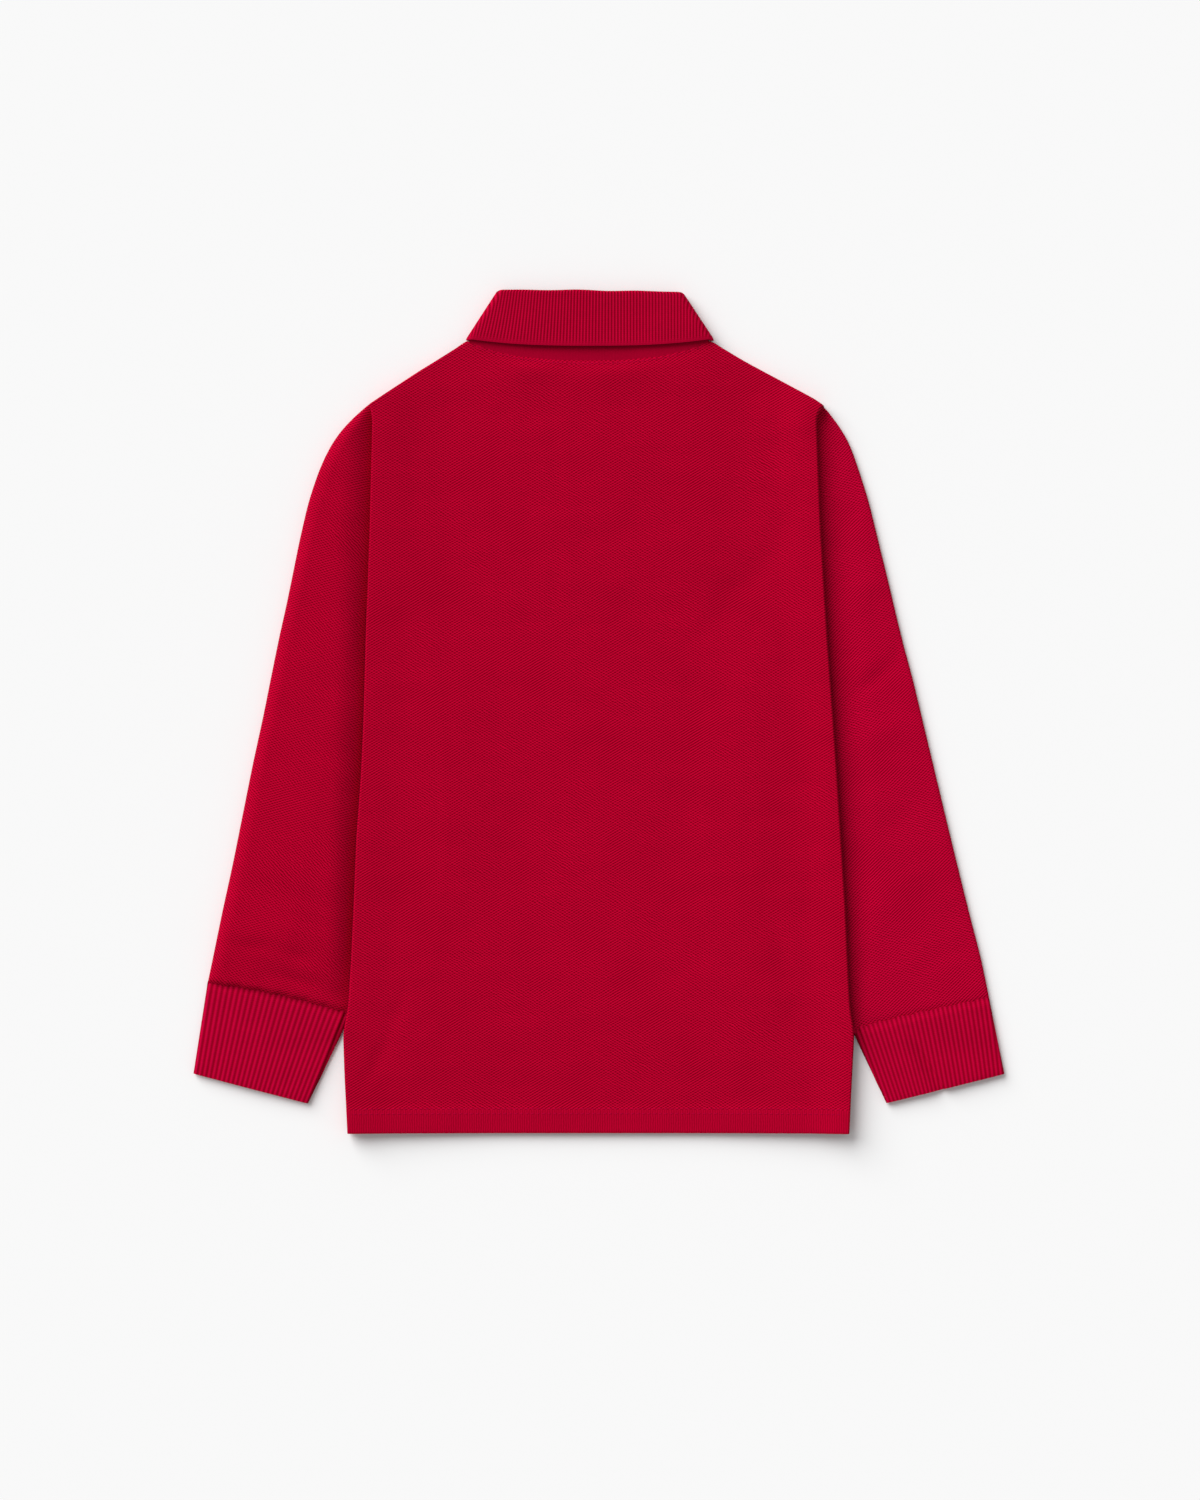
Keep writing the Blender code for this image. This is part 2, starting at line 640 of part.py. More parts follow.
# Collar: a strip of rib knit that stands up from the neck seam, folds over and falls down
# outside. Levels run from the neck seam over the fold to the free edge.
Level = namedtuple("Level", "branch share turn")
COLLAR_LEVELS = (
    [Level("stand", share, -90.0) for share in (1.0, 0.66, 0.33)]
    + [Level("fold", 0.0, turn) for turn in (-90.0, -45.0, 0.0, 45.0, 90.0)]
    + [Level("fall", share, 90.0) for share in (0.25, 0.5, 0.74, 0.84, 1.0)]
)
COLLAR_FRONT_SHARES = (1.0, 0.86, 0.72, 0.58, 0.44, 0.3, 0.15, 0.0)
COLLAR_TURNS = (-50.0, 0.0, 50.0)
COLLAR_BACK_SHARES = tuple(index / 14 for index in range(15))
WELT_SHARE = 0.80           # the ribs fade into the welt past this share of the fall


def quarter_arc(start, end, share):
    """Point of the quarter ellipse that leaves start downwards and reaches end level."""
    angle = 0.5 * math.pi * share
    return Vector((end.x + (start.x - end.x) * math.cos(angle),
                   start.y + (end.y - start.y) * math.sin(angle)))


def collar_plan(side, share, branch):
    """Where a branch of the collar starts and ends in plan, at the back or at a front."""
    left = COLLAR_SIDES["left"]
    right = COLLAR_SIDES["right"]
    if side == "back":
        rise = mix(FOLD_RISE["left"], FOLD_RISE["right"], share)
        fold = Vector((mix(left.fold_x, right.fold_x, share), FOLD_HEIGHT + rise))
        belly = neck_belly(share)
        if branch == "stand":
            x = mix(left.neck_x, right.neck_x, share)
            return fold, Vector((x, NECK_SIDE_HEIGHT - NECK_BACK_DEPTH * belly))
        x = mix(left.edge_x, right.edge_x, share)
        return fold, Vector((x, FALL_EDGE_HEIGHT - FALL_EDGE_DIP * belly))
    own = COLLAR_SIDES[side]
    fold_start = Vector((own.fold_x, FOLD_HEIGHT + FOLD_RISE[side]))
    fold = quarter_arc(fold_start, Vector((own.front_x, FRONT_FOLD_HEIGHT)), share)
    if branch == "stand":
        start = Vector((own.neck_x, NECK_SIDE_HEIGHT))
        end = Vector((own.front_x, NECK_SIDE_HEIGHT - NECK_FRONT_DEPTH))
        return fold, quarter_arc(start, end, share)
    start = Vector((own.edge_x, FALL_EDGE_HEIGHT))
    end = Vector((own.point_x, COLLAR_POINT_HEIGHT))
    return fold, start.lerp(end, share).lerp(quarter_arc(start, end, share), EDGE_CURVE)


def collar_point(side, share, around, level, outward):
    """Point of the collar. around is the turn from the front (-90) to the back (90), and
    outward is the distance from the middle of the cloth towards its outer face."""
    turn = math.radians(level.turn)
    fold_radius = 0.5 * (FALL_OFFSET - STAND_OFFSET)
    offset = 0.5 * (FALL_OFFSET + STAND_OFFSET) + (fold_radius + outward) * math.sin(turn)
    beyond = (fold_radius + outward) * math.cos(turn)
    fold, fall_end = collar_plan(side, share, "fall")
    stand_end = collar_plan(side, share, "stand")[1]
    up = ((fold - fall_end).normalized() + (fold - stand_end).normalized()).normalized()
    place = fold + up * beyond
    if level.branch != "fold":
        end = stand_end if level.branch == "stand" else fall_end
        place = fold.lerp(end, level.share)
    angle = math.radians(around)
    sideways = 0.0
    if abs(around) < 90.0:
        sideways = math.cos(angle) * offset * (-1.0 if side == "left" else 1.0)
    return Vector((place.x + sideways, place.y, COLLAR_MIDDLE + offset * math.sin(angle)))


def rib_strength(level):
    """How far the ribs stand up at a level: they show on the fall and fade in its welt."""
    if level.branch == "stand" or level.turn < 0.0:
        return 0.0
    return 1.0 if level.share < WELT_SHARE else 0.25 * (level.share < 1.0)


def collar_row(bm, level, outward, ribbed):
    """One level of the collar, from its left front end round the neck to its right one.
    Places along the row are millimetres across the back, and more than that at the fronts."""
    row = []
    for share in COLLAR_FRONT_SHARES:
        row.append((-200.0 - 100.0 * share, collar_point("left", share, -90.0, level, outward)))
    for around in COLLAR_TURNS:
        row.append((-150.0 + 0.5 * around, collar_point("left", 0.0, around, level, outward)))
    start = collar_point("back", 0.0, 90.0, level, outward)
    end = collar_point("back", 1.0, 90.0, level, outward)
    if ribbed:
        row.append((-100.0, start))
        half_pitch = 0.5 * COLLAR_RIB_PITCH
        first = math.ceil((start.x + 0.4 * half_pitch) / half_pitch)
        last = math.floor((end.x - 0.4 * half_pitch) / half_pitch)
        for index in range(first, last + 1):
            x = index * half_pitch
            share = (x - start.x) / (end.x - start.x)
            raised = RIB_HEIGHT * rib_strength(level) * (index % 2)
            point = collar_point("back", share, 90.0, level, outward + raised)
            row.append((x, Vector((x, point.y, point.z))))
        row.append((100.0, end))
    else:
        for share in COLLAR_BACK_SHARES:
            place = mix(-100.0, 100.0, share)
            row.append((place, collar_point("back", share, 90.0, level, outward)))
    for around in reversed(COLLAR_TURNS):
        row.append((150.0 - 0.5 * around, collar_point("right", 0.0, around, level, outward)))
    for share in reversed(COLLAR_FRONT_SHARES):
        row.append((200.0 + 100.0 * share, collar_point("right", share, -90.0, level, outward)))
    return [(place, bm.verts.new(point)) for place, point in row]


def build_collar(shirt, material):
    bm = bmesh.new()
    outer = []
    for level in COLLAR_LEVELS:
        ribbed = level.branch == "fall" or level.turn >= -45.0
        outer.append(collar_row(bm, level, 0.5 * RIB_CLOTH, ribbed))
    inner = [collar_row(bm, level, -0.5 * RIB_CLOTH, False) for level in COLLAR_LEVELS]
    rows = outer + inner[::-1]
    for first, second in zip(rows, rows[1:] + rows[:1]):
        zip_rows(bm, first, second)
    for end in (0, -1):
        outer_end = [(index, row[end][1]) for index, row in enumerate(outer)]
        inner_end = [(index, row[end][1]) for index, row in enumerate(inner)]
        zip_rows(bm, outer_end, inner_end)
    add_piece("collar", finish_mesh(bm, "collar"), material, shirt)


# Placket: two strips that fill the slit of the front, the upper one with the buttonholes
STRIP_SHARES = (0.0, 0.25, 0.5, 0.75, 1.0)
STRIP_ROWS = (0.0, 0.067, 0.145, 0.34, 0.55, 0.78, 1.0)


def build_placket(shirt, material):
    half_width = 0.5 * PLACKET_WIDTH - SEAM_GAP

    def point(share_across, share_up, lift):
        x = PLACKET_CENTRE + mix(-half_width, half_width, share_across)
        y = mix(PLACKET_END + SEAM_GAP, front_top(x), share_up)
        return Vector((x, y, front_bottom(x, y) + lift))

    for name, lift in (("placket_upper", 0.0), ("placket_under", CLOTH + SEAM_GAP)):
        bm = bmesh.new()
        upper = [[point(a, b, lift + CLOTH) for a in STRIP_SHARES] for b in STRIP_ROWS]
        lower = [[point(a, b, lift) for a in STRIP_SHARES] for b in STRIP_ROWS]
        grid_wall(bm, upper, lower, lambda r, c: True)
        add_piece(name, finish_mesh(bm, name), material, shirt)


# Buttons: turned discs with a rim and a dished face, which lies on the surface below
ButtonRing = namedtuple("ButtonRing", "radius height")
BUTTON_PROFILE = [
    ButtonRing(0.0, BUTTON_THICKNESS),
    ButtonRing(BUTTON_RADIUS - 0.8, BUTTON_THICKNESS),
    ButtonRing(BUTTON_RADIUS, BUTTON_THICKNESS - 0.7),
    ButtonRing(BUTTON_RADIUS, 0.6),
    ButtonRing(BUTTON_RADIUS - 0.5, 0.0),
    ButtonRing(BUTTON_RADIUS - 1.2, 0.0),
    ButtonRing(BUTTON_RADIUS - 1.8, 0.6),
    ButtonRing(0.0, 0.6),
]
BUTTON_SIDES = 20


def build_buttons(shirt, material):
    bm = bmesh.new()
    profile = [bm.verts.new((ring.radius, 0.0, ring.height)) for ring in BUTTON_PROFILE]
    edges = [bm.edges.new(pair) for pair in zip(profile, profile[1:])]
    bmesh.ops.spin(bm, geom=profile + edges, cent=(0.0, 0.0, 0.0), axis=(0.0, 0.0, 1.0),
                   angle=2.0 * math.pi, steps=BUTTON_SIDES, use_merge=True)
    bmesh.ops.remove_doubles(bm, verts=bm.verts, dist=0.001)
    mesh = finish_mesh(bm, "button")
    for index, height in enumerate(BUTTON_HEIGHTS):
        button = add_piece(f"button_{index + 1}", mesh, material, shirt)
        button.location = Vector((PLACKET_CENTRE, height, 0.0)) * METRES_PER_MM


def build_shirt():
    for leftover in list(bpy.data.objects):
        bpy.data.objects.remove(leftover, do_unlink=True)
    shirt = bpy.data.objects.new("polo_shirt", None)
    bpy.context.scene.collection.objects.link(shirt)
    build_back(shirt, new_material("knit_back", CRIMSON, 0.85))
    build_front(shirt, new_material("knit_front", CRIMSON, 0.85))
    for side in ("left", "right"):
        build_sleeve(side, shirt, new_material("knit_sleeve_" + side, CRIMSON, 0.85))
        build_cuff(side, shirt, new_material("rib_cuff_" + side, DEEP_CRIMSON, 0.85))
    build_collar(shirt, new_material("rib_collar", DEEP_CRIMSON, 0.85))
    build_placket(shirt, new_material("knit_placket", CRIMSON, 0.85))
    build_buttons(shirt, new_material("button_plastic", BUTTON_RED, 0.35))


build_shirt()
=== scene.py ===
import math
from collections import namedtuple

import bmesh
import bpy
import numpy as np
from mathutils import Matrix, Vector, noise
from mathutils.bvhtree import BVHTree


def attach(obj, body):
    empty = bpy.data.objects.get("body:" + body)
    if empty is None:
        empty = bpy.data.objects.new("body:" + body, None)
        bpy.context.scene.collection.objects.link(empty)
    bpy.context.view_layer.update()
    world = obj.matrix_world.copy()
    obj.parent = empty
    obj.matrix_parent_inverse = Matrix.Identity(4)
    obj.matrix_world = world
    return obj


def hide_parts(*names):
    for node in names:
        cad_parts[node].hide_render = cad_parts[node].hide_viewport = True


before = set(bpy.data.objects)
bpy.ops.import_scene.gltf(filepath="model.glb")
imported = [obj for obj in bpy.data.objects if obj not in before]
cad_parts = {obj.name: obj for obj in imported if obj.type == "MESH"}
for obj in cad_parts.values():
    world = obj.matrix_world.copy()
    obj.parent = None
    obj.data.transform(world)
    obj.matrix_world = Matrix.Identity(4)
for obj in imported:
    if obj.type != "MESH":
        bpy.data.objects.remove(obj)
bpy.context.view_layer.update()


# Tabletop: a wide matt white board that the shirt lies on, face down. One broad soft lamp
# stands at the upper left, and even light comes from all round. The camera looks straight
# down on the middle of the shirt.
MM = 0.001
BOARD_HALF = 4.0
BOARD_DROP = 0.15
BOARD_WHITE = (0.93, 0.93, 0.93, 1.0)
LAMP_STRENGTH = 3.54
LAMP_SPREAD = math.radians(50.0)
LAMP_FROM = Vector((-0.6, 0.66, 0.6))
ROOM_STRENGTH = 0.388
CAMERA_PLACE = Vector((0.4, -21.8, 1983.0))
CAMERA_LENS = 85.0

def link_piece(name, data):
    """A new object in the scene, at the origin and unturned."""
    piece = bpy.data.objects.new(name, data)
    bpy.context.scene.collection.objects.link(piece)
    return piece


def mesh_piece(name, bm):
    """Ends a bmesh as the mesh of a new object."""
    mesh = bpy.data.meshes.new(name)
    bm.to_mesh(mesh)
    bm.free()
    return link_piece(name, mesh)


def new_material(name):
    material = bpy.data.materials.new(name)
    material.use_nodes = True
    return material, material.node_tree.nodes["Principled BSDF"]


bm = bmesh.new()
bmesh.ops.create_grid(bm, x_segments=1, y_segments=1, size=BOARD_HALF)
bmesh.ops.translate(bm, vec=(0.0, 0.0, -BOARD_DROP * MM), verts=bm.verts)
board = mesh_piece("board", bm)
board_white, board_shader = new_material("matt_white_board")
board_shader.inputs["Base Color"].default_value = BOARD_WHITE
board_shader.inputs["Roughness"].default_value = 1.0
board_shader.inputs["Specular IOR Level"].default_value = 0.0
board.data.materials.append(board_white)

lamp_data = bpy.data.lights.new("soft_lamp", "SUN")
lamp_data.energy = LAMP_STRENGTH
lamp_data.angle = LAMP_SPREAD
lamp = link_piece("soft_lamp", lamp_data)
lamp.rotation_euler = (-LAMP_FROM).to_track_quat("-Z", "Y").to_euler()

room = bpy.data.worlds.new("room")
room.use_nodes = True
room_light = room.node_tree.nodes["Background"]
room_light.inputs["Color"].default_value = (1.0, 1.0, 1.0, 1.0)
room_light.inputs["Strength"].default_value = ROOM_STRENGTH
bpy.context.scene.world = room
bpy.context.scene.view_settings.view_transform = "Standard"

camera_data = bpy.data.cameras.new("camera")
camera_data.lens = CAMERA_LENS
camera_data.sensor_width = 36.0
camera_data.clip_start = 0.05
camera_data.clip_end = 50.0
camera = link_piece("camera", camera_data)
camera.location = CAMERA_PLACE * MM
bpy.context.scene.camera = camera


# Sleeves: each is one piece of cotton pique, folded down its outer side and closed under
# the arm. They lie flat, and their inner sides are tucked under the body. Their upper ends
# are sewn into the armholes.
CLOTH = 1.2
SLEEVE_TURN = 1.5
SLEEVE_COLUMN_COUNTS = (0, 4, 34, 42, 102, 106)
SLEEVE_ROWS = 132
SLEEVE_ROUNDING = 7.0
TUBE_TURNS = (-180, -90, -90, 90, 90, 180)
TUBE_FLATS = (0, 0, 1, 1, 0, 0)
SHARP_CLOTH = math.radians(55.0)
PIQUE_ACROSS = 2.56
PIQUE_ALONG = 1.54
PIQUE_SLANT = 0.2
PIQUE_DEPTH = 0.16
# Painted shade: the pits' colour is darker than the loops' colour, for the shade that falls in them.
PIQUE_PIT_PAINTED_SHADE = (0.188, 0.0004, 0.0062, 1.0)
PIQUE_LOOP = (0.540, 0.0010, 0.0310, 1.0)
Section = namedtuple("Section", "outer_x outer_y inner_x inner_y")
SLEEVE_SECTIONS = {
    "left": [
        Section(-219.2, -152.6, -139.8, -170.7),
        Section(-217.5, -144.5, -127.0, -161.0),
        Section(-214.5, -130.0, -111.0, -146.0),
        Section(-210.6, -111.0, -99.0, -124.0),
        Section(-205.1, -86.0, -93.0, -96.0),
        Section(-199.5, -58.0, -91.5, -65.0),
        Section(-193.9, -30.0, -91.0, -34.0),
        Section(-188.0, -3.0, -92.0, -4.0),
        Section(-182.2, 26.0, -103.0, 22.0),
        Section(-178.5, 44.0, -117.0, 38.0),
        Section(-175.5, 57.0, -126.0, 48.0),
        Section(-172.2, 73.0, -124.0, 66.0),
        Section(-167.6, 95.8, -122.0, 88.0),
        Section(-162.7, 117.0, -121.0, 112.0),
        Section(-156.5, 135.5, -121.5, 132.0),
        Section(-149.5, 150.0, -122.5, 148.0),
        Section(-141.8, 160.0, -124.0, 159.0),
        Section(-131.5, 169.6, -123.0, 168.4),
        Section(-127.6, 172.4, -121.0, 171.2),
    ],
    "right": [
        Section(218.2, -161.4, 142.0, -178.9),
        Section(216.7, -153.5, 128.0, -168.0),
        Section(213.5, -138.0, 112.0, -152.0),
        Section(208.5, -119.0, 100.0, -130.0),
        Section(202.0, -93.0, 94.0, -102.0),
        Section(195.2, -65.0, 92.0, -70.0),
        Section(188.5, -37.0, 91.5, -38.0),
        Section(181.8, -9.0, 92.0, -8.0),
        Section(175.0, 19.5, 101.0, 20.0),
        Section(170.2, 37.0, 114.0, 37.0),
        Section(166.5, 52.0, 122.8, 48.0),
        Section(162.3, 70.0, 120.2, 66.0),
        Section(156.0, 95.8, 118.0, 88.0),
        Section(150.7, 117.5, 116.8, 112.0),
        Section(145.0, 135.5, 116.2, 132.0),
        Section(139.5, 151.0, 116.5, 148.0),
        Section(133.8, 159.8, 118.5, 158.5),
        Section(128.2, 167.8, 119.0, 166.4),
        Section(124.6, 170.6, 117.0, 169.4),
    ],
}
ARMPIT_ROW = 10
ARMPIT_REACH = 4.0
OUTWARD = {"left": -1.0, "right": 1.0}
BodySide = namedtuple("BodySide", "height left right")
BODY_SIDES = [
    BodySide(-236.0, -140.9, 139.8),
    BodySide(-205.0, -142.4, 141.3),
    BodySide(-180.0, -143.2, 142.6),
    BodySide(-166.0, -140.4, 140.2),
    BodySide(-138.0, -138.7, 138.8),
    BodySide(-110.0, -137.4, 137.6),
    BodySide(-72.0, -135.9, 135.2),
    BodySide(-35.0, -133.2, 132.9),
    BodySide(-3.0, -131.8, 130.7),
    BodySide(41.0, -130.6, 127.5),
    BodySide(107.0, -128.4, 123.6),
    BodySide(163.0, -127.0, 121.4),
    BodySide(171.0, -129.0, 126.0),
]
BODY_ROUNDING = 5.0
SLEEVE_CROWN = {"left": 6.6, "right": 0.4}
CROWN_AT_CUFF = 0.45
CROWN_START = -165.0
CROWN_REACH = 45.0
OUTER_CROWN = 0.8
OUTER_CROWN_REACH = 40.0
SLEEVE_FOLD_REACH = 8.0
SLEEVE_DIP = 1.0
DIP_POWER = 2.2
DIP_ROUNDING = 15.0
SleeveDip = namedtuple("SleeveDip", "height left right")
SLEEVE_DIPS = [
    SleeveDip(-170.0, 11.0, 12.0),
    SleeveDip(-130.0, 16.0, 19.0),
    SleeveDip(-60.0, 17.0, 23.0),
    SleeveDip(40.0, 18.0, 25.0),
    SleeveDip(90.0, 20.0, 28.0),
    SleeveDip(150.0, 20.0, 24.0),
    SleeveDip(172.0, 10.0, 12.0),
]
SEAM_BOW = {"left": -2.2, "right": 0.6}
SEAM_BOW_REACH = 30.0
CUFF_SEAM_REACH = 3.2
CUFF_SEAM_HEIGHTS = (0.9, 2.2)
SLEEVE_GRAIN = {"left": math.radians(-15.0), "right": math.radians(13.0)}
SLEEVE_SLANT = {"left": -0.1, "right": 0.35}
# Painted light and shade: both sleeves are the same cloth, but the left one's loops are coloured
# darker and the right one's lighter.
SLEEVE_LOOP_LIT_AND_SHADED = {"left": (0.526, 0.0010, 0.0300, 1.0), "right": (0.578, 0.0011, 0.038, 1.0)}
SLEEVE_RIPPLE_SIZE = 26.0
SLEEVE_RIPPLE = 0.35
NO_HEM = -1000.0
Crease = namedtuple("Crease", "x1 y1 x2 y2 height width")
SLEEVE_CREASES = {
    "left": [
        Crease(-196.0, -131.0, -168.0, -137.0, -1.0, 4.0),
        Crease(-178.0, -148.0, -144.0, -160.0, -0.9, 3.2),
        Crease(-205.0, -141.0, -186.0, -150.0, 0.35, 4.5),
        Crease(-196.0, -94.0, -158.0, -120.0, -0.3, 7.0),
        Crease(-186.0, -20.0, -150.0, -66.0, 0.35, 9.0),
        Crease(-176.0, 44.0, -140.0, 6.0, -0.4, 8.0),
        Crease(-166.0, 92.0, -138.0, 52.0, 0.4, 9.0),
        Crease(-157.0, 128.0, -134.0, 96.0, -0.35, 6.0),
    ],
    "right": [
        Crease(171.0, 36.0, 146.0, 11.0, -0.7, 4.2),
        Crease(178.0, 6.0, 150.0, -18.0, 0.4, 7.0),
        Crease(196.0, -76.0, 156.0, -108.0, 0.35, 9.0),
        Crease(208.0, -128.0, 176.0, -146.0, -0.35, 5.5),
        Crease(186.0, -40.0, 158.0, -70.0, -0.3, 7.0),
        Crease(160.0, 84.0, 136.0, 50.0, 0.4, 8.0),
        Crease(148.0, 124.0, 130.0, 92.0, -0.4, 6.0),
        Crease(142.0, 140.0, 128.0, 118.0, 0.3, 4.5),
    ],
}


def smooth(value):
    value = np.clip(value, 0.0, 1.0)
    return value * value * (3.0 - 2.0 * value)


def mix(low, high, share):
    return low + (high - low) * share


def rounded(at, table, key, column, reach):
    """A column of a table at given places of its key, with its corners rounded."""
    keys = [getattr(row, key) for row in table]
    values = [getattr(row, column) for row in table]
    reach = np.clip(np.minimum(at - keys[0], keys[-1] - at), 0.0, reach)
    total = 0.0
    for offset, weight in ((-1.0, 0.15), (-0.5, 0.2), (0.0, 0.3), (0.5, 0.2), (1.0, 0.15)):
        total = total + weight * np.interp(at + offset * reach, keys, values)
    return total


def creased(creases, x, y):
    """Height that soft ridges and troughs add, each along its own line."""
    total = np.zeros_like(x)
    for crease in creases:
        run = np.array((crease.x2 - crease.x1, crease.y2 - crease.y1))
        length = np.linalg.norm(run)
        run = run / length
        ahead = (x - crease.x1) * run[0] + (y - crease.y1) * run[1]
        aside = (x - crease.x1) * -run[1] + (y - crease.y1) * run[0]
        past = np.maximum(np.maximum(-ahead, ahead - length), 0.0)
        bend = 0.12 * length * (ahead / length) * (1.0 - ahead / length)
        far = (aside - bend) ** 2 / crease.width ** 2 + past ** 2 / (3.0 * crease.width) ** 2
        swell = 0.75 + 0.25 * np.cos(ahead / length * 7.0 + crease.x1)
        total += crease.height * swell * np.exp(-far)
    return total


def body_side(y, side):
    """Side edge of the body at a height in plan."""
    return rounded(y, BODY_SIDES, "height", side, BODY_ROUNDING)


def lengths_along(points):
    """Length along a line of points, from the first one to each."""
    steps = np.linalg.norm(np.diff(np.array(points, float), axis=0), axis=1)
    return np.concatenate([[0.0], np.cumsum(steps)])


def ripple(x, y, seed, size, height):
    """Slight unevenness that knit cloth keeps when it is laid out."""
    spots = np.stack([x / size, y / size, np.full_like(x, seed)], axis=1)
    return height * np.array([noise.noise(spot) for spot in spots])


def bake_modifiers(piece):
    """Makes what a piece's modifiers show its own mesh."""
    depsgraph = bpy.context.evaluated_depsgraph_get()
    baked = bpy.data.meshes.new_from_object(piece.evaluated_get(depsgraph))
    piece.modifiers.clear()
    piece.data = baked


def lay_cloth(name, columns, rows, shape, wall, hole=None, mirrored=False):
    """A sheet of cloth made from a grid. shape(u, v) gives its outer face in millimetres and
    each point's place in the knit, and the wall grows inwards from there. A mirrored shape
    has its faces turned over first, and nothing of it sinks into the board."""
    bm = bmesh.new()
    bmesh.ops.create_grid(bm, x_segments=columns, y_segments=rows, size=0.5)
    bm.verts.index_update()
    shares = np.array([vert.co[:2] for vert in bm.verts]) + 0.5
    centres = [face.calc_center_median().xy + Vector((0.5, 0.5)) for face in bm.faces]
    cut = [face for face, centre in zip(bm.faces, centres) if hole and hole(*centre)]
    points, grain = shape(shares[:, 0], shares[:, 1])
    layer = bm.loops.layers.uv.new("grain")
    for face in bm.faces:
        for loop in face.loops:
            loop[layer].uv = grain[loop.vert.index]
    for vert in bm.verts:
        vert.co = points[vert.index] * MM
    bmesh.ops.delete(bm, geom=cut, context="FACES")
    bmesh.ops.remove_doubles(bm, verts=bm.verts, dist=1e-6)
    if mirrored:
        bmesh.ops.reverse_faces(bm, faces=bm.faces)
    piece = mesh_piece(name, bm)
    shell = piece.modifiers.new("wall", "SOLIDIFY")
    shell.thickness = wall * MM
    shell.offset = -1.0
    bake_modifiers(piece)
    bm = bmesh.new()
    bm.from_mesh(piece.data)
    for vert in bm.verts:
        vert.co.z = max(vert.co.z, 0.0)
    bmesh.ops.recalc_face_normals(bm, faces=bm.faces)
    bm.to_mesh(piece.data)
    bm.free()
    piece.data.shade_smooth()
    piece.data.set_sharp_from_angle(angle=SHARP_CLOTH)
    return piece


def node(tree, kind, values=(), **settings):
    """Adds a node. Values go to its inputs in order: a socket is linked and None is left."""
    made = tree.nodes.new(kind)
    for setting, value in settings.items():
        setattr(made, setting, value)
    for socket, value in zip(made.inputs, values):
        if isinstance(value, bpy.types.NodeSocket):
            tree.links.new(value, socket)
        elif value is not None:
            socket.default_value = value
    return made


def maths(tree, operation, *values):
    return node(tree, "ShaderNodeMath", values, operation=operation).outputs[0]


def mixed_colour(tree, share, low, high, blend="MIX"):
    values = (share, None, None, None, None, None, low, high)
    made = node(tree, "ShaderNodeMix", values, data_type="RGBA", blend_type=blend)
    return made.outputs[2]


def new_group(name, inputs, outputs):
    """An empty shader node group with named sockets, and its two end nodes."""
    group = bpy.data.node_groups.new(name, "ShaderNodeTree")
    for socket, kind in inputs:
        group.interface.new_socket(socket, in_out="INPUT", socket_type="NodeSocket" + kind)
    for socket, kind in outputs:
        group.interface.new_socket(socket, in_out="OUTPUT", socket_type="NodeSocket" + kind)
    return group, group.nodes.new("NodeGroupInput"), group.nodes.new("NodeGroupOutput")


# Cells of the pique: rows of small hollows, each row set half a cell aside, with yarn between.
# Below the hem line the knit shows only its upright wales.
YARN_WANDER = 0.001
YARN_WANDER_SCALE = 300.0
SLANT_DRIFT = 2.4
SLANT_DRIFT_SCALE = 26.0
WALE_HEIGHT = 0.45
WALE_LOW = 0.36
HEM_BLEND = 0.0006
pique_cells, cells_in, cells_out = new_group(
    "Pique cells",
    [("Grain", "Vector"), ("Across", "Float"), ("Along", "Float"), ("Slant", "Float"),
     ("Hem line", "Float")],
    [("Height", "Float")],
)
grain_noise = node(pique_cells, "ShaderNodeTexNoise",
                   (cells_in.outputs["Grain"], None, YARN_WANDER_SCALE, 1.0))
grain_shift = maths(pique_cells, "MULTIPLY_ADD", grain_noise.outputs[0],
                    YARN_WANDER, -0.5 * YARN_WANDER)
grain_parts = node(pique_cells, "ShaderNodeSeparateXYZ", (cells_in.outputs["Grain"],))
cell_waves, cell_sines = [], []
for part_index, pitch in ((0, "Across"), (1, "Along")):
    shifted = maths(pique_cells, "ADD", grain_parts.outputs[part_index], grain_shift)
    turns = maths(pique_cells, "DIVIDE", shifted, cells_in.outputs[pitch])
    angle = maths(pique_cells, "MULTIPLY", turns, 2.0 * math.pi)
    cell_waves.append(maths(pique_cells, "COSINE", angle))
    cell_sines.append(maths(pique_cells, "SINE", angle))
cell_lean = maths(pique_cells, "MULTIPLY", cell_sines[0], cell_sines[1])
slant_noise = node(pique_cells, "ShaderNodeTexNoise",
                   (cells_in.outputs["Grain"], None, SLANT_DRIFT_SCALE, 1.0))
cell_slant = maths(pique_cells, "MULTIPLY_ADD", slant_noise.outputs[0],
                   SLANT_DRIFT, -0.5 * SLANT_DRIFT)
cell_slant = maths(pique_cells, "ADD", cell_slant, cells_in.outputs["Slant"])
cell_lean = maths(pique_cells, "MULTIPLY", cell_lean, cell_slant)
cell_pattern = maths(pique_cells, "MULTIPLY_ADD", cell_waves[0], cell_waves[1], cell_lean)
cell_pit = node(pique_cells, "ShaderNodeMapRange", (cell_pattern, -0.8, 0.5, 0.0, 1.0),
                interpolation_type="SMOOTHSTEP")
hem_start = maths(pique_cells, "ADD", cells_in.outputs["Hem line"], HEM_BLEND)
on_hem = node(pique_cells, "ShaderNodeMapRange",
              (grain_parts.outputs[1], cells_in.outputs["Hem line"], hem_start, 1.0, 0.0))
wale_wave = maths(pique_cells, "MULTIPLY", cell_waves[0], cell_waves[0])
wale_lines = maths(pique_cells, "MULTIPLY_ADD", wale_wave, WALE_HEIGHT, WALE_LOW)
knit_height = node(pique_cells, "ShaderNodeMix",
                   (on_hem.outputs[0], None, cell_pit.outputs[0], wale_lines))
pique_cells.links.new(knit_height.outputs[0], cells_out.inputs["Height"])

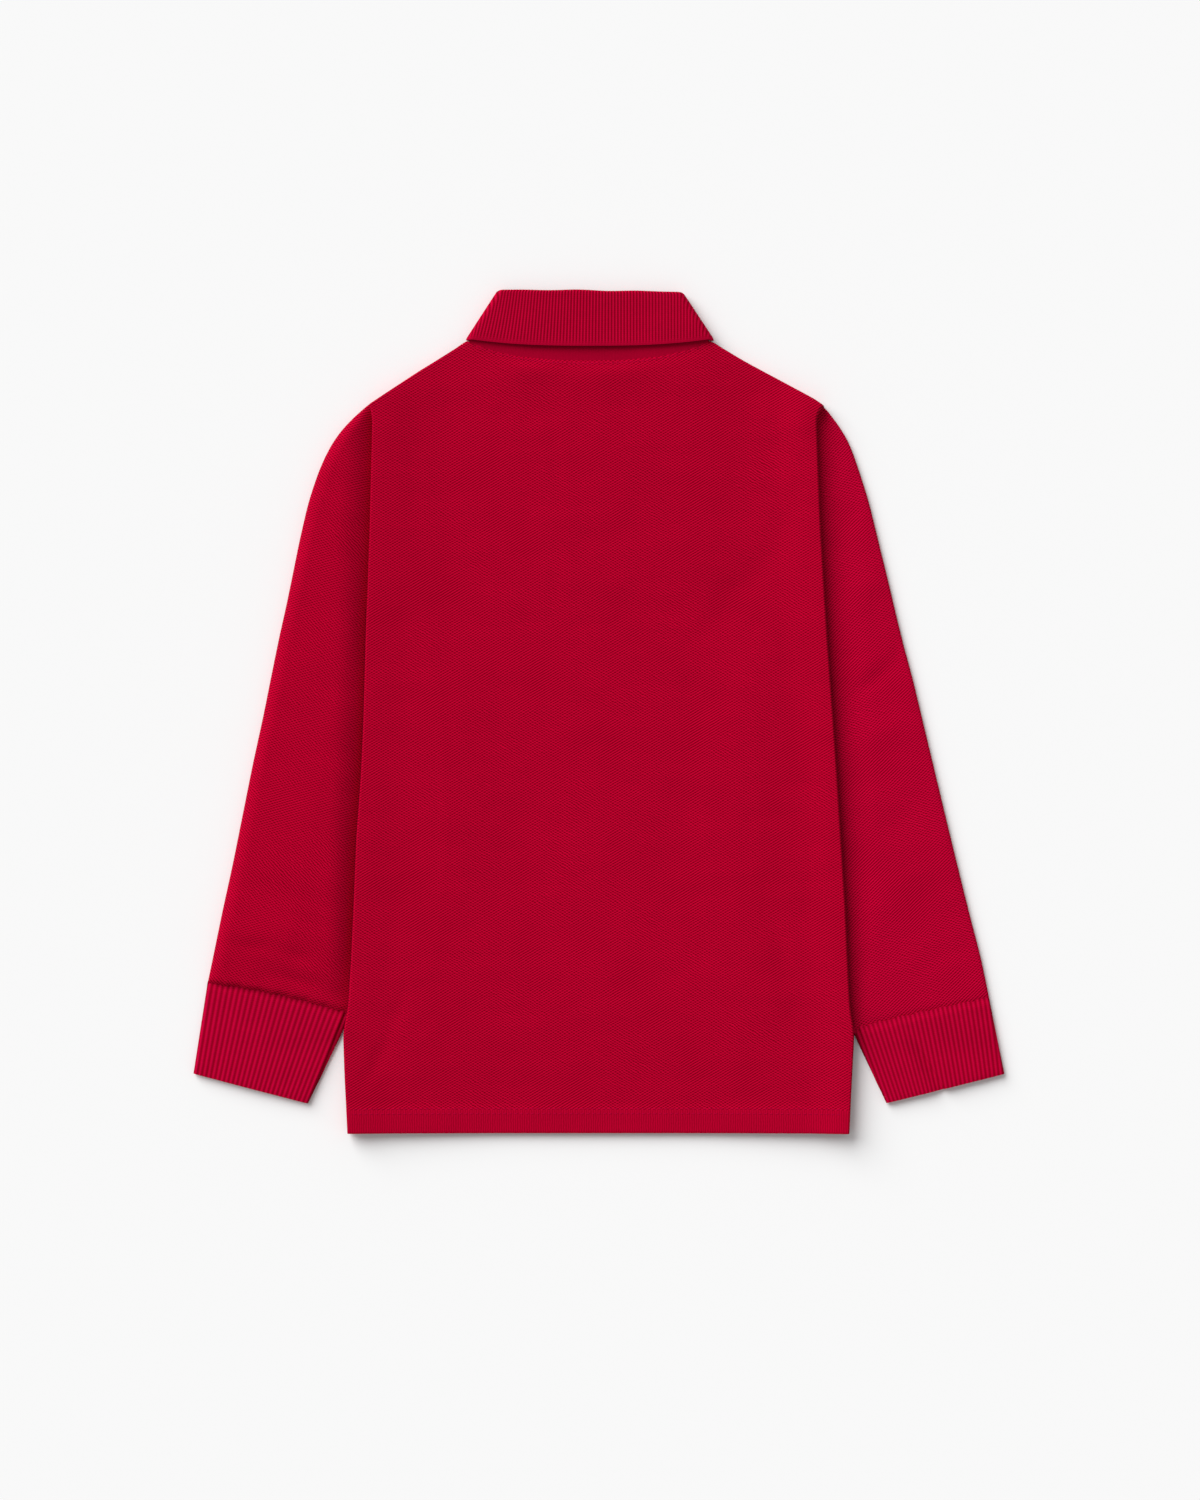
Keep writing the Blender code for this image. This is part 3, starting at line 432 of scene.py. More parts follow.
# Uneven dye: soft patches, drawn out along the knit's level rows, and fine flecks.
DYE_STRETCH = (0.6, 2.2, 1.0)
PATCH_SCALE = 38.0
FLECK_SCALE = 900.0
uneven_dye, dye_in, dye_out = new_group(
    "Uneven dye",
    [("Grain", "Vector"), ("Colour", "Color"), ("Patches", "Float"), ("Flecks", "Float")],
    [("Colour", "Color")],
)
dye_rows = node(uneven_dye, "ShaderNodeVectorMath", (dye_in.outputs["Grain"], DYE_STRETCH),
                operation="MULTIPLY").outputs[0]
dye_shade = 1.0
for dye_place, dye_scale, dye_amount in ((dye_rows, PATCH_SCALE, "Patches"),
                                         (dye_in.outputs["Grain"], FLECK_SCALE, "Flecks")):
    dye_noise = node(uneven_dye, "ShaderNodeTexNoise", (dye_place, None, dye_scale, 3.0))
    dye_offset = maths(uneven_dye, "SUBTRACT", dye_noise.outputs[0], 0.5)
    dye_shade = maths(uneven_dye, "MULTIPLY_ADD", dye_offset, dye_in.outputs[dye_amount], dye_shade)
dye_grey = node(uneven_dye, "ShaderNodeCombineColor", (dye_shade, dye_shade, dye_shade))
dye_colour = mixed_colour(uneven_dye, 1.0, dye_in.outputs["Colour"], dye_grey.outputs[0], "MULTIPLY")
uneven_dye.links.new(dye_colour, dye_out.inputs["Colour"])


def cotton_material(name):
    """A material with the matt, slightly downy finish that all of the cotton shares."""
    material, shader = new_material(name)
    shader.inputs["Roughness"].default_value = 0.95
    shader.inputs["Specular IOR Level"].default_value = 0.03
    shader.inputs["Specular Tint"].default_value = (0.9, 0.02, 0.12, 1.0)
    shader.inputs["Sheen Weight"].default_value = 0.12
    shader.inputs["Sheen Roughness"].default_value = 0.45
    shader.inputs["Sheen Tint"].default_value = (0.85, 0.01, 0.12, 1.0)
    return material, shader


def paint_shade_and_dye_knit(tree, shader, height, painted_shade_colour, top_colour, dye_place, patches, flecks):
    """Paints shade into a knit's colour by its height, darker in its hollows where shade falls, and
    dyes it unevenly.
    """
    # Painted shade: the knit's hollows get a darker colour than its tops.
    colour = mixed_colour(tree, height, painted_shade_colour, top_colour)
    dye = node(tree, "ShaderNodeGroup", (dye_place, colour, patches, flecks),
               node_tree=uneven_dye)
    tree.links.new(dye.outputs["Colour"], shader.inputs["Base Color"])


def raise_knit(tree, shader, height, strength, depth):
    bump = node(tree, "ShaderNodeBump")
    bump.inputs["Strength"].default_value = strength
    bump.inputs["Distance"].default_value = depth * MM
    tree.links.new(height, bump.inputs["Height"])
    tree.links.new(bump.outputs["Normal"], shader.inputs["Normal"])


def pique_material(name, loop=PIQUE_LOOP, slant=PIQUE_SLANT, hem_line=NO_HEM):
    material, shader = cotton_material(name)
    tree = material.node_tree
    grain = node(tree, "ShaderNodeUVMap", uv_map="grain").outputs[0]
    cells = node(tree, "ShaderNodeGroup",
                 (grain, PIQUE_ACROSS * MM, PIQUE_ALONG * MM, slant, hem_line * MM),
                 node_tree=pique_cells)
    height = cells.outputs["Height"]
    # Painted shade: the colour darkens into the cells' pits, and between the wales below the hem.
    paint_shade_and_dye_knit(tree, shader, height, PIQUE_PIT_PAINTED_SHADE, loop, grain, patches=0.15, flecks=0.34)
    raise_knit(tree, shader, height, strength=0.6, depth=PIQUE_DEPTH)
    return material


def turned_grain(x, y, angle):
    """Place in the knit of a point that lies in plan, for cloth whose wales are turned."""
    return np.stack([x * math.cos(angle) + y * math.sin(angle),
                     y * math.cos(angle) - x * math.sin(angle)], axis=1) * MM


def seam_pucker(share):
    """Slight wave that sewing leaves in the line between a sleeve and its cuff."""
    return 0.28 * np.sin(share * 41.0) + 0.16 * np.sin(share * 97.0 + 1.0)


def tube_span(outer_x, outer_y, inner_x, inner_y):
    """Direction from the inner to the outer edge of a flattened tube, and its width."""
    run = np.stack([outer_x - inner_x, outer_y - inner_y], axis=1)
    width = np.linalg.norm(run, axis=1)
    return run / width[:, None], width


def tube_round(u, knots, radius, width):
    """Place across a flattened tube and turn round it, from its inner seam underneath."""
    flat = np.interp(u, knots, TUBE_FLATS)
    turn = np.radians(np.interp(u, knots, TUBE_TURNS))
    return flat * (width - 2.0 * radius) + radius * (1.0 + np.cos(turn)), turn


def tube_place(inner_x, inner_y, run, across, bow):
    """Place in plan of a point across a tube, with its row bowed out of the straight."""
    return (inner_x + run[:, 0] * across - run[:, 1] * bow,
            inner_y + run[:, 1] * across + run[:, 0] * bow)


def upper_side(turn):
    """1 on a tube's upper side, 0 on its lower one."""
    return smooth(np.sin(turn) * 2.0)


def sleeve_shape(side):
    outward = OUTWARD[side]
    sections = SLEEVE_SECTIONS[side]
    lengths = lengths_along([((row.outer_x + row.inner_x) / 2, (row.outer_y + row.inner_y) / 2)
                             for row in sections])
    Station = namedtuple("Station", "length outer_x outer_y inner_x inner_y")
    stations = [Station(length, *row) for length, row in zip(lengths, sections)]
    knots = np.array(SLEEVE_COLUMN_COUNTS) / SLEEVE_COLUMN_COUNTS[-1]

    def shape(u, v):
        length = v * lengths[-1]
        outer_x, outer_y, inner_x, inner_y = [
            rounded(length, stations, "length", edge, SLEEVE_ROUNDING) for edge in Section._fields]
        run, width = tube_span(outer_x, outer_y, inner_x, inner_y)
        across, turn = tube_round(u, knots, SLEEVE_TURN, width)
        height = SLEEVE_TURN * (1.0 + np.sin(turn))
        # Above the armpit the tube is open, and its two layers end at the armhole.
        opening = smooth((length - lengths[ARMPIT_ROW] + ARMPIT_REACH) / ARMPIT_REACH)
        at_seam = np.minimum(u, 1.0 - u) / knots[1]
        apart = np.where(at_seam < 1.0, opening, 0.0)
        across = mix(across, SLEEVE_TURN * np.minimum(at_seam, 1.0), apart)
        height = mix(height, np.where(u < 0.5, 0.0, 2.0 * SLEEVE_TURN), apart)
        share = across / width
        fading = np.clip(1.0 - length / SEAM_BOW_REACH, 0.0, 1.0)
        bow = (SEAM_BOW[side] * 4.0 * share * (1.0 - share) + outward * seam_pucker(share)) * fading
        x, y = tube_place(inner_x, inner_y, run, across, bow)
        # The upper layer dips beside the body, rises to its crown and rolls down at the fold.
        body_x = body_side(y, side)
        from_body = np.maximum(outward * (x - body_x) + 1.0, 0.0)
        from_fold = np.maximum(outward * (outer_x - x), 0.0)
        crown_share = mix(CROWN_AT_CUFF, 1.0, smooth((y - CROWN_START) / CROWN_REACH))
        dip_reach = rounded(y, SLEEVE_DIPS, "height", side, DIP_ROUNDING)
        dip = np.clip(from_body / dip_reach, 0.0, 1.0)
        dip = 1.0 - (1.0 - dip) ** DIP_POWER if side == "left" else smooth(1.4 * dip - 0.4)
        crown = SLEEVE_CROWN[side] * crown_share * dip - SLEEVE_DIP * (1.0 - dip)
        past_fold = 1.0 - np.clip(from_fold / SLEEVE_FOLD_REACH, 0.0, 1.0)
        crown = crown * np.sqrt(1.0 - past_fold * past_fold)
        crown = crown * mix(OUTER_CROWN, 1.0, np.clip(from_fold / OUTER_CROWN_REACH, 0.0, 1.0))
        clear = smooth(outward * (x - body_x) / 8.0) * smooth(from_fold / 6.0)
        relief = creased(SLEEVE_CREASES[side], x, y)
        relief += ripple(x, y, 3.0 * outward, SLEEVE_RIPPLE_SIZE, SLEEVE_RIPPLE)
        height += upper_side(turn) * (crown + clear * relief)
        at_cuff = smooth(1.0 - length / CUFF_SEAM_REACH)
        height = mix(height, np.clip(height, *CUFF_SEAM_HEIGHTS), at_cuff)
        return np.stack([x, y, height], axis=1), turned_grain(x, y, SLEEVE_GRAIN[side])

    return shape


for side in ("left", "right"):
    sleeve = lay_cloth("sleeve_knit_" + side, SLEEVE_COLUMN_COUNTS[-1], SLEEVE_ROWS,
                       sleeve_shape(side), CLOTH, mirrored=side == "right")
    # Painted light and shade: each sleeve gets its own loop colour, lighter on the right and darker on
    # the left.
    sleeve_knit = pique_material("crimson_pique_sleeve_" + side, loop=SLEEVE_LOOP_LIT_AND_SHADED[side],
                                 slant=SLEEVE_SLANT[side])
    sleeve.data.materials.append(sleeve_knit)
    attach(sleeve, "root")
    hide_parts("sleeve_" + side)


# Cuffs: each is a tube of heavier rib knit, folded flat, whose ribs run towards the hand.
# It is sewn to the end of the sleeve, and its finished edge has no hem.
RIB_CLOTH = 1.3
CUFF_TURN = 1.7
CUFF_CROWN = 0.8
CUFF_ROWS = 30
CUFF_TUCK = 0.03
CUFF_SEAM_WIDTH = 2.6
CUFF_EDGE_SHARE = 0.025
CUFF_SEAM_DROP = 0.75
CUFF_EDGE_DROP = 0.25
PUCKER_REACH = 12.0
COLUMNS_PER_RIB = 8
RIB_CROWDING = 0.10
STRIP_DEPTH = 1.3
STRIP_EDGE = 0.9
PLEAT_WIDTHS = (4.5, 0.9)
RIB_RELIEF = 0.17
# Painted shade: the groove colour is darker than the ridge colour, for the shade that falls between
# the ribs.
RIB_GROOVE_PAINTED_SHADE = (0.265, 0.0006, 0.012, 1.0)
RIB_RIDGE = (0.525, 0.0012, 0.038, 1.0)
CUFF_ENDS = {
    "left": Section(-227.0, -202.7, -162.9, -219.5),
    "right": Section(226.6, -202.9, 160.6, -219.3),
}
CuffFace = namedtuple("CuffFace", "ribs strip_width pleat_start pleat_end pleat_depth")
CUFF_FACES = {
    "left": CuffFace(26.0, 3.2, 0.0, 0.0, 0.0),
    "right": CuffFace(28.0, 3.6, 0.34, 0.48, 1.9),
}

# Ribs of the knit: grooves between rounded ridges, which carry small chevron loops and fade where a
# smooth edge was knitted on. The height made here also paints shade into the colour, dark in the
# grooves.
WELT_HEIGHT = 0.62
LOOP_PITCH = 1.15
LOOP_HEIGHT = 0.12
rib_lines, ribs_in, ribs_out = new_group(
    "Rib lines",
    [("Ribs", "Vector"), ("Welt", "Float"), ("Loops", "Float")],
    [("Height", "Float")],
)
rib_parts = node(rib_lines, "ShaderNodeSeparateXYZ", (ribs_in.outputs["Ribs"],))
rib_phase = rib_parts.outputs[0]
rib_cosine = maths(rib_lines, "COSINE", maths(rib_lines, "MULTIPLY", rib_phase, 2.0 * math.pi))
rib_ridge = maths(rib_lines, "MULTIPLY_ADD", rib_cosine, -0.5, 0.5)
welt_fade = node(rib_lines, "ShaderNodeMapRange",
                 (rib_parts.outputs[1], 0.0, ribs_in.outputs["Welt"], 0.0, 1.0),
                 interpolation_type="SMOOTHSTEP")
rib_faded = node(rib_lines, "ShaderNodeMix", (welt_fade.outputs[0], None, WELT_HEIGHT, rib_ridge))
rib_middle = maths(rib_lines, "ABSOLUTE",
                   maths(rib_lines, "SUBTRACT", maths(rib_lines, "FRACT", rib_phase), 0.5))
loop_turns = maths(rib_lines, "DIVIDE", rib_parts.outputs[1], ribs_in.outputs["Loops"])
loop_share = maths(rib_lines, "ADD", loop_turns, rib_middle)
loop_wave = maths(rib_lines, "SINE", maths(rib_lines, "MULTIPLY", loop_share, 2.0 * math.pi))
loop_height = maths(rib_lines, "MULTIPLY_ADD", loop_wave, LOOP_HEIGHT, rib_faded.outputs[0])
rib_lines.links.new(loop_height, ribs_out.inputs["Height"])


def rib_material(name, groove=RIB_GROOVE_PAINTED_SHADE, ridge=RIB_RIDGE, welt=0.1):
    material, shader = cotton_material(name)
    tree = material.node_tree
    grain = node(tree, "ShaderNodeUVMap", uv_map="grain").outputs[0]
    lines = node(tree, "ShaderNodeGroup", (grain, welt * MM, LOOP_PITCH * MM), node_tree=rib_lines)
    place = node(tree, "ShaderNodeTexCoord").outputs["Object"]
    height = lines.outputs["Height"]
    # Painted shade: the colour darkens into the grooves between the ribs.
    paint_shade_and_dye_knit(tree, shader, height, groove, ridge, place, patches=0.2, flecks=0.3)
    raise_knit(tree, shader, height, strength=0.5, depth=0.12)
    return material


def rib_profile(ribs):
    """0 in the groove between two ribs, 1 on a rib's ridge."""
    return 0.5 - 0.5 * np.cos(2.0 * math.pi * ribs)


def cuff_shape(side):
    outward = OUTWARD[side]
    seam = SLEEVE_SECTIONS[side][0]
    end = CUFF_ENDS[side]
    face = CUFF_FACES[side]
    counts = np.cumsum((0, 4, 110, 8, COLUMNS_PER_RIB * int(face.ribs), 4))
    knots = counts / counts[-1]

    def shape(u, v):
        v = mix(-CUFF_TUCK, 1.0, v)
        outer_x, outer_y, inner_x, inner_y = [
            mix(getattr(seam, edge), getattr(end, edge), v) for edge in Section._fields]
        run, width = tube_span(outer_x, outer_y, inner_x, inner_y)
        across, turn = tube_round(u, knots, CUFF_TURN, width)
        share = across / width
        length = np.hypot(end.inner_x - seam.inner_x, end.inner_y - seam.inner_y) * v
        # Beside a pleat the ribs crowd together towards the hand.
        strip = face.strip_width * (1.0 - v) / width
        pleat = mix(face.pleat_start, face.pleat_end, v)
        lost = face.ribs * RIB_CROWDING * v * (face.pleat_depth > 0.0)
        ribs = face.ribs * (share - strip) / (1.0 - strip)
        ribs = np.where(share < pleat, ribs * (1.0 + RIB_CROWDING * v), ribs + lost * pleat)
        on_top = upper_side(turn)
        at_seam = smooth(1.0 - length / CUFF_SEAM_WIDTH)
        at_end = smooth(1.0 - (1.0 - v) / CUFF_EDGE_SHARE)
        on_strip = smooth((strip - share) * width / STRIP_EDGE + 0.5) * on_top * (1.0 - at_end)
        crown = CUFF_CROWN * 4.0 * share * (1.0 - share)
        relief = -RIB_RELIEF * (1.0 - rib_profile(ribs)) * (1.0 - 0.5 * on_strip)
        pleat_far = (share - pleat) * width / np.where(share < pleat, *PLEAT_WIDTHS)
        pleat_dip = -face.pleat_depth * np.exp(-pleat_far ** 2) * smooth(v * 2.0 - 0.3)
        ends = -CUFF_SEAM_DROP * at_seam - CUFF_EDGE_DROP * at_end
        upper = crown + RIB_RELIEF + relief - STRIP_DEPTH * on_strip + pleat_dip + ends
        flat_x, flat_y = tube_place(inner_x, inner_y, run, across, 0.0)
        upper += 0.3 * creased(CUFF_CREASES[side], flat_x, flat_y)
        height = CUFF_TURN * (1.0 + np.sin(turn))
        height += on_top * upper + (1.0 - on_top) * (-relief + 0.6 * at_seam) * 0.8
        fading = np.clip(1.0 - length / PUCKER_REACH, 0.0, 1.0)
        bow = SEAM_BOW[side] * 4.0 * share * (1.0 - share) * (1.0 - v)
        bow += outward * seam_pucker(share) * fading
        x, y = tube_place(inner_x, inner_y, run, across, bow)
        grain = np.stack([ribs, (length + 2.0) * MM], axis=1)
        return np.stack([x, y, np.maximum(height, 0.0)], axis=1), grain

    return shape, int(counts[-1])


CUFF_CREASES = {
    "left": [
        Crease(-208.0, -166.0, -213.0, -196.0, -0.7, 3.5),
        Crease(-186.0, -170.0, -193.0, -206.0, 0.6, 4.5),
        Crease(-164.0, -176.0, -172.0, -204.0, -0.6, 3.5),
    ],
    "right": [
        Crease(206.0, -168.0, 212.0, -200.0, 0.6, 4.5),
        Crease(186.0, -172.0, 192.0, -196.0, 0.6, 3.5),
        Crease(160.0, -182.0, 172.0, -208.0, -0.7, 4.0),
    ],
}
for side in ("left", "right"):
    cuff_form, cuff_columns = cuff_shape(side)
    cuff = lay_cloth("cuff_rib_" + side, cuff_columns, CUFF_ROWS, cuff_form, RIB_CLOTH,
                     mirrored=side == "left")
    cuff.data.materials.append(rib_material("crimson_rib_cuff_" + side))
    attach(cuff, "root")
    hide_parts("cuff_" + side)


# Front: one pique panel that lies face down on the board. Its side edges follow the sleeves,
# and it is slit from the neck to the chest for the placket.
SLEEVE_STACK = 3.6
COLLAR_STACK = 2.5
TIP_HEIGHT = 171.0
BEND_HEIGHT = 60.0
HEM_HEIGHT = -235.9
HEM_DEPTH = 12.8
HEM_EXTRA = 0.25
FRONT_INSET = 1.95
SHOULDER_INSET = 2.24
SLOPE_MARGIN = 6.0
SLOPE_ROUNDING = 12.0
ARMHOLE_INSET = 0.6
ARMHOLE_ROUNDING = 5.0
SHOULDER_ROUNDING = 3.0
BACK_FILL = 0.6
HEM_FILL = 0.18
HEM_FILL_REACH = 70.0
BACK_BELLY = 0.5
BACK_SOFTNESS = 2.8
ARMHOLE_SPREAD = 1.2
NECK_CENTRE = -5.75
NECK_MIDDLE_HEIGHT = 188.0
NECK_LEFT = -72.8
NECK_RIGHT = 61.3
NECK_SIDE_HEIGHT = 206.8
NECK_FRONT_DEPTH = 52.0
NECK_MARGIN = 0.6
PLACKET_CENTRE = -6.0
PLACKET_WIDTH = 28.0
PLACKET_END = 51.0
Ramp = namedtuple("Ramp", "reach width")
FRONT_ON_COLLAR = Ramp(92.0, 22.0)
FRONT_ON_PLACKET = Ramp(34.0, 19.5)
FRONT_PLACKET_FOOT = Ramp(8.0, 22.0)
BACK_ON_COLLAR = Ramp(46.0, 28.0)
BACK_ON_PLACKET = Ramp(40.0, 32.0)
BACK_PLACKET_FOOT = Ramp(24.0, 44.0)
Slope = namedtuple("Slope", "height width")
BODY_SLOPES = [
    Slope(-236.0, 40.0),
    Slope(-165.0, 34.0),
    Slope(-130.0, 24.0),
    Slope(-90.0, 16.0),
    Slope(30.0, 16.0),
    Slope(60.0, 14.0),
    Slope(171.0, 12.0),
]
Shoulder = namedtuple("Shoulder", "across height")
SHOULDER_LINE = [
    Shoulder(-129.0, 171.4),
    Shoulder(-116.6, 179.8),
    Shoulder(-99.8, 191.0),
    Shoulder(-81.4, 202.2),
    Shoulder(-73.4, 207.2),
    Shoulder(62.4, 206.8),
    Shoulder(79.9, 196.6),
    Shoulder(100.6, 185.4),
    Shoulder(120.8, 174.2),
    Shoulder(126.4, 170.0),
]
FRONT_CREASES = [
    Crease(-92.0, 96.0, -58.0, 34.0, 0.5, 8.0),
    Crease(84.0, 92.0, 50.0, 30.0, 0.5, 8.0),
    Crease(-60.0, -20.0, -34.0, -96.0, 0.45, 9.0),
    Crease(52.0, -36.0, 30.0, -110.0, 0.45, 9.0),
    Crease(-20.0, 40.0, -36.0, -10.0, 0.4, 6.0),
    Crease(10.0, 42.0, 26.0, -8.0, 0.4, 6.0),
    Crease(-78.0, -140.0, -40.0, -176.0, 0.4, 7.0),
    Crease(70.0, -132.0, 26.0, -168.0, 0.4, 7.0),
]


def sleeve_rise(x, y, under_front):
    """1 where the body lies on a sleeve, falling to 0 beside it."""
    rise = 0.0
    for side, outward in OUTWARD.items():
        sections = [CUFF_ENDS[side]] + SLEEVE_SECTIONS[side]
        fold = rounded(y, sections, "inner_y", "inner_x", SLEEVE_ROUNDING)
        width = rounded(y, BODY_SLOPES, "height", "width", SLOPE_ROUNDING)
        if under_front:
            armpit = SLEEVE_SECTIONS[side][ARMPIT_ROW]
            above = np.maximum(y - armpit.inner_y, 0.0)
            armhole = armpit.inner_x + outward * ARMHOLE_SPREAD * above
            fold = np.where(above > 0.0, armhole, fold)
        else:
            width = BACK_SOFTNESS * width
        rise = rise + smooth((outward * (x - fold) + SLOPE_MARGIN + width) / width)
    return rise


def ramp(value, bounds):
    return smooth((bounds.reach + value) / bounds.width)


def rest_height(x, y):
    """Height of the front's lower face: it lies on the board, sleeves, collar and buttons."""
    far = np.hypot(x - NECK_CENTRE, y - NECK_MIDDLE_HEIGHT)
    on_collar = ramp(-far, FRONT_ON_COLLAR)
    on_placket = ramp(-np.abs(x - PLACKET_CENTRE), FRONT_ON_PLACKET)
    on_placket = on_placket * ramp(y - PLACKET_END, FRONT_PLACKET_FOOT)
    hollow = (1.0 - on_collar) * (1.0 - on_placket)
    return SLEEVE_STACK * sleeve_rise(x, y, True) + COLLAR_STACK * (1.0 - hollow)


def back_rest(x, y):
    """Height under the back, which spans the hollows and sinks into them only a little."""
    fill = BACK_FILL * mix(HEM_FILL, 1.0, smooth((y - HEM_HEIGHT) / HEM_FILL_REACH))
    rise = mix(fill, 1.0, np.clip(sleeve_rise(x, y, False), 0.0, 1.0))
    far = np.hypot(x - NECK_CENTRE, y - NECK_SIDE_HEIGHT)
    on_placket = ramp(-np.abs(x - PLACKET_CENTRE), BACK_ON_PLACKET)
    on_placket = on_placket * ramp(y - PLACKET_END, BACK_PLACKET_FOOT)
    return SLEEVE_STACK * rise + BACK_BELLY * np.maximum(ramp(-far, BACK_ON_COLLAR), on_placket)


def shoulder_height(x):
    return rounded(x, SHOULDER_LINE, "across", "height", SHOULDER_ROUNDING)


def front_top(x):
    """Upper outline of the front: the shoulders and the low front of the neck."""
    half_width = 0.5 * (NECK_RIGHT - NECK_LEFT) + NECK_MARGIN
    share = np.clip((x - NECK_CENTRE) / half_width, -1.0, 1.0)
    depth = (NECK_FRONT_DEPTH + NECK_MARGIN) * np.sqrt(1.0 - share * share)
    neck = np.where(np.abs(share) < 1.0, NECK_SIDE_HEIGHT - depth, 1000.0)
    return np.minimum(shoulder_height(x) - SHOULDER_INSET, neck)


def bent_rows(row_height, top):
    """Rows above the chest bend to follow the panel's upper outline."""
    bend = np.maximum(row_height - BEND_HEIGHT, 0.0) / (TIP_HEIGHT - BEND_HEIGHT)
    return row_height + (top - TIP_HEIGHT) * bend


FRONT_COLUMN_COUNTS = (0, 50, 64, 114)
FRONT_ROW_COUNTS = (0, 96, 150)


def front_shape(u, v):
    _, slit_start, slit_end, last = FRONT_COLUMN_COUNTS
    column = (1.0 - u) * last
    row_height = np.interp(v * FRONT_ROW_COUNTS[-1], FRONT_ROW_COUNTS,
                           (HEM_HEIGHT, PLACKET_END, TIP_HEIGHT))
    edges = {}
    for side, outward in OUTWARD.items():
        body = body_side(row_height, side) - outward * FRONT_INSET
        sections = SLEEVE_SECTIONS[side]
        armhole = rounded(row_height, sections, "inner_y", "inner_x", ARMHOLE_ROUNDING)
        above = smooth((row_height - sections[ARMPIT_ROW].inner_y) / ARMPIT_REACH)
        edges[side] = mix(body, armhole - outward * ARMHOLE_INSET, above)
    slit_left = PLACKET_CENTRE - 0.5 * PLACKET_WIDTH
    slit_right = PLACKET_CENTRE + 0.5 * PLACKET_WIDTH
    left_share = np.clip(column / slit_start, 0.0, 1.0)
    middle_share = np.clip((column - slit_start) / (slit_end - slit_start), 0.0, 1.0)
    right_share = np.clip((column - slit_end) / (last - slit_end), 0.0, 1.0)
    x = mix(edges["left"], slit_left, left_share)
    x = np.where(column > slit_start, mix(slit_left, slit_right, middle_share), x)
    x = np.where(column > slit_end, mix(slit_right, edges["right"], right_share), x)
    y = bent_rows(row_height, front_top(x))
    free = smooth((x - edges["left"]) / 12.0) * smooth((edges["right"] - x) / 12.0)
    free *= smooth((y - HEM_HEIGHT) / 10.0) * smooth((front_top(x) - y) / 10.0)
    height = rest_height(x, y) + free * np.maximum(creased(FRONT_CREASES, x, y), 0.0)
    return np.stack([x, y, height], axis=1), np.stack([x, y], axis=1) * MM


def front_hole(u, v):
    """The slit that the placket fills."""
    _, slit_start, slit_end, last = FRONT_COLUMN_COUNTS
    above_foot = v * FRONT_ROW_COUNTS[-1] > FRONT_ROW_COUNTS[1]
    return above_foot and slit_start < (1.0 - u) * last < slit_end


front = lay_cloth("front_panel", FRONT_COLUMN_COUNTS[-1], FRONT_ROW_COUNTS[-1], front_shape, CLOTH,
                  hole=front_hole)
front.data.materials.append(pique_material("crimson_pique_front", hem_line=HEM_HEIGHT + HEM_DEPTH))
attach(front, "root")
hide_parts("front")


# Stitches: short raised loops of matching thread that follow the cloth they are sewn in.
STITCH_RADIUS = 0.26
Row = namedtuple("Row", "pitch length lift")
LOCKSTITCH = Row(2.5, 2.0, 0.05)
THREAD = (0.50, 0.0016, 0.045, 1.0)
THREAD_DARK = (0.36, 0.001, 0.03, 1.0)


def cloth_tree(*cloths):
    bm = bmesh.new()
    for cloth in cloths:
        bm.from_mesh(cloth.data)
    tree = BVHTree.FromBMesh(bm)
    bm.free()
    return tree


def add_bead(bm, place, turn, size, around=6, along=5):
    """One long bead of thread, turned and sized in place."""
    matrix = Matrix.Translation(place) @ turn @ Matrix.Diagonal((*size, 1.0))
    bmesh.ops.create_uvsphere(bm, u_segments=around, v_segments=along, radius=1.0, matrix=matrix)


def sew(name, lines, tree, row, from_above=True):
    """Rows of stitches along lines in plan, each laid on the cloth that it goes through."""
    bm = bmesh.new()
    beam = Vector((0.0, 0.0, -1.0 if from_above else 1.0))
    start_height = 0.1 if from_above else -0.1
    for line in lines:
        line = np.array(line, float)
        lengths = lengths_along(line)
        for at in np.arange(0.5 * row.pitch, lengths[-1] - 0.4 * row.pitch, row.pitch):
            ends = []
            for place in (at - 0.5 * row.length, at + 0.5 * row.length):
                x = float(np.interp(place, lengths, line[:, 0])) * MM
                y = float(np.interp(place, lengths, line[:, 1])) * MM
                hit = tree.ray_cast(Vector((x, y, start_height)), beam)[0]
                if hit:
                    ends.append(hit - beam * row.lift * MM)
            if len(ends) < 2:
                continue
            run = ends[1] - ends[0]
            turn = run.to_track_quat("X", "Z").to_matrix().to_4x4()
            size = (0.5 * run.length + 0.1 * MM, STITCH_RADIUS * MM, 0.8 * STITCH_RADIUS * MM)
            add_bead(bm, (ends[0] + ends[1]) / 2, turn, size)
    piece = mesh_piece(name, bm)
    piece.data.shade_smooth()
    piece.data.materials.append(thread_material)
    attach(piece, "root")
    return piece


thread_material, thread_shader = cotton_material("crimson_thread")
thread_tree = thread_material.node_tree
thread_twist = node(thread_tree, "ShaderNodeTexWave",
                    (node(thread_tree, "ShaderNodeTexCoord").outputs["Object"], 900.0, 2.0),
                    wave_type="BANDS", bands_direction="DIAGONAL")
thread_colour = mixed_colour(thread_tree, thread_twist.outputs["Fac"], THREAD_DARK, THREAD)
thread_tree.links.new(thread_colour, thread_shader.inputs["Base Color"])


# Placket: two strips of the same pique that fill the slit, the one with the buttonholes on
# the outside. Both are edge-stitched, with a stitched box at the foot.
SEAM_GAP = 0.3
STRIP_COLUMNS = 22
STRIP_ROWS = 62
STRIP_STITCH_INSET = 1.6
STRIP_STITCH_FOOT = PLACKET_END + 1.8
STRIP_STITCH_BOX = PLACKET_END + 13.5
STRIP_STITCH_TOP = 151.0
placket_half = 0.5 * PLACKET_WIDTH - SEAM_GAP


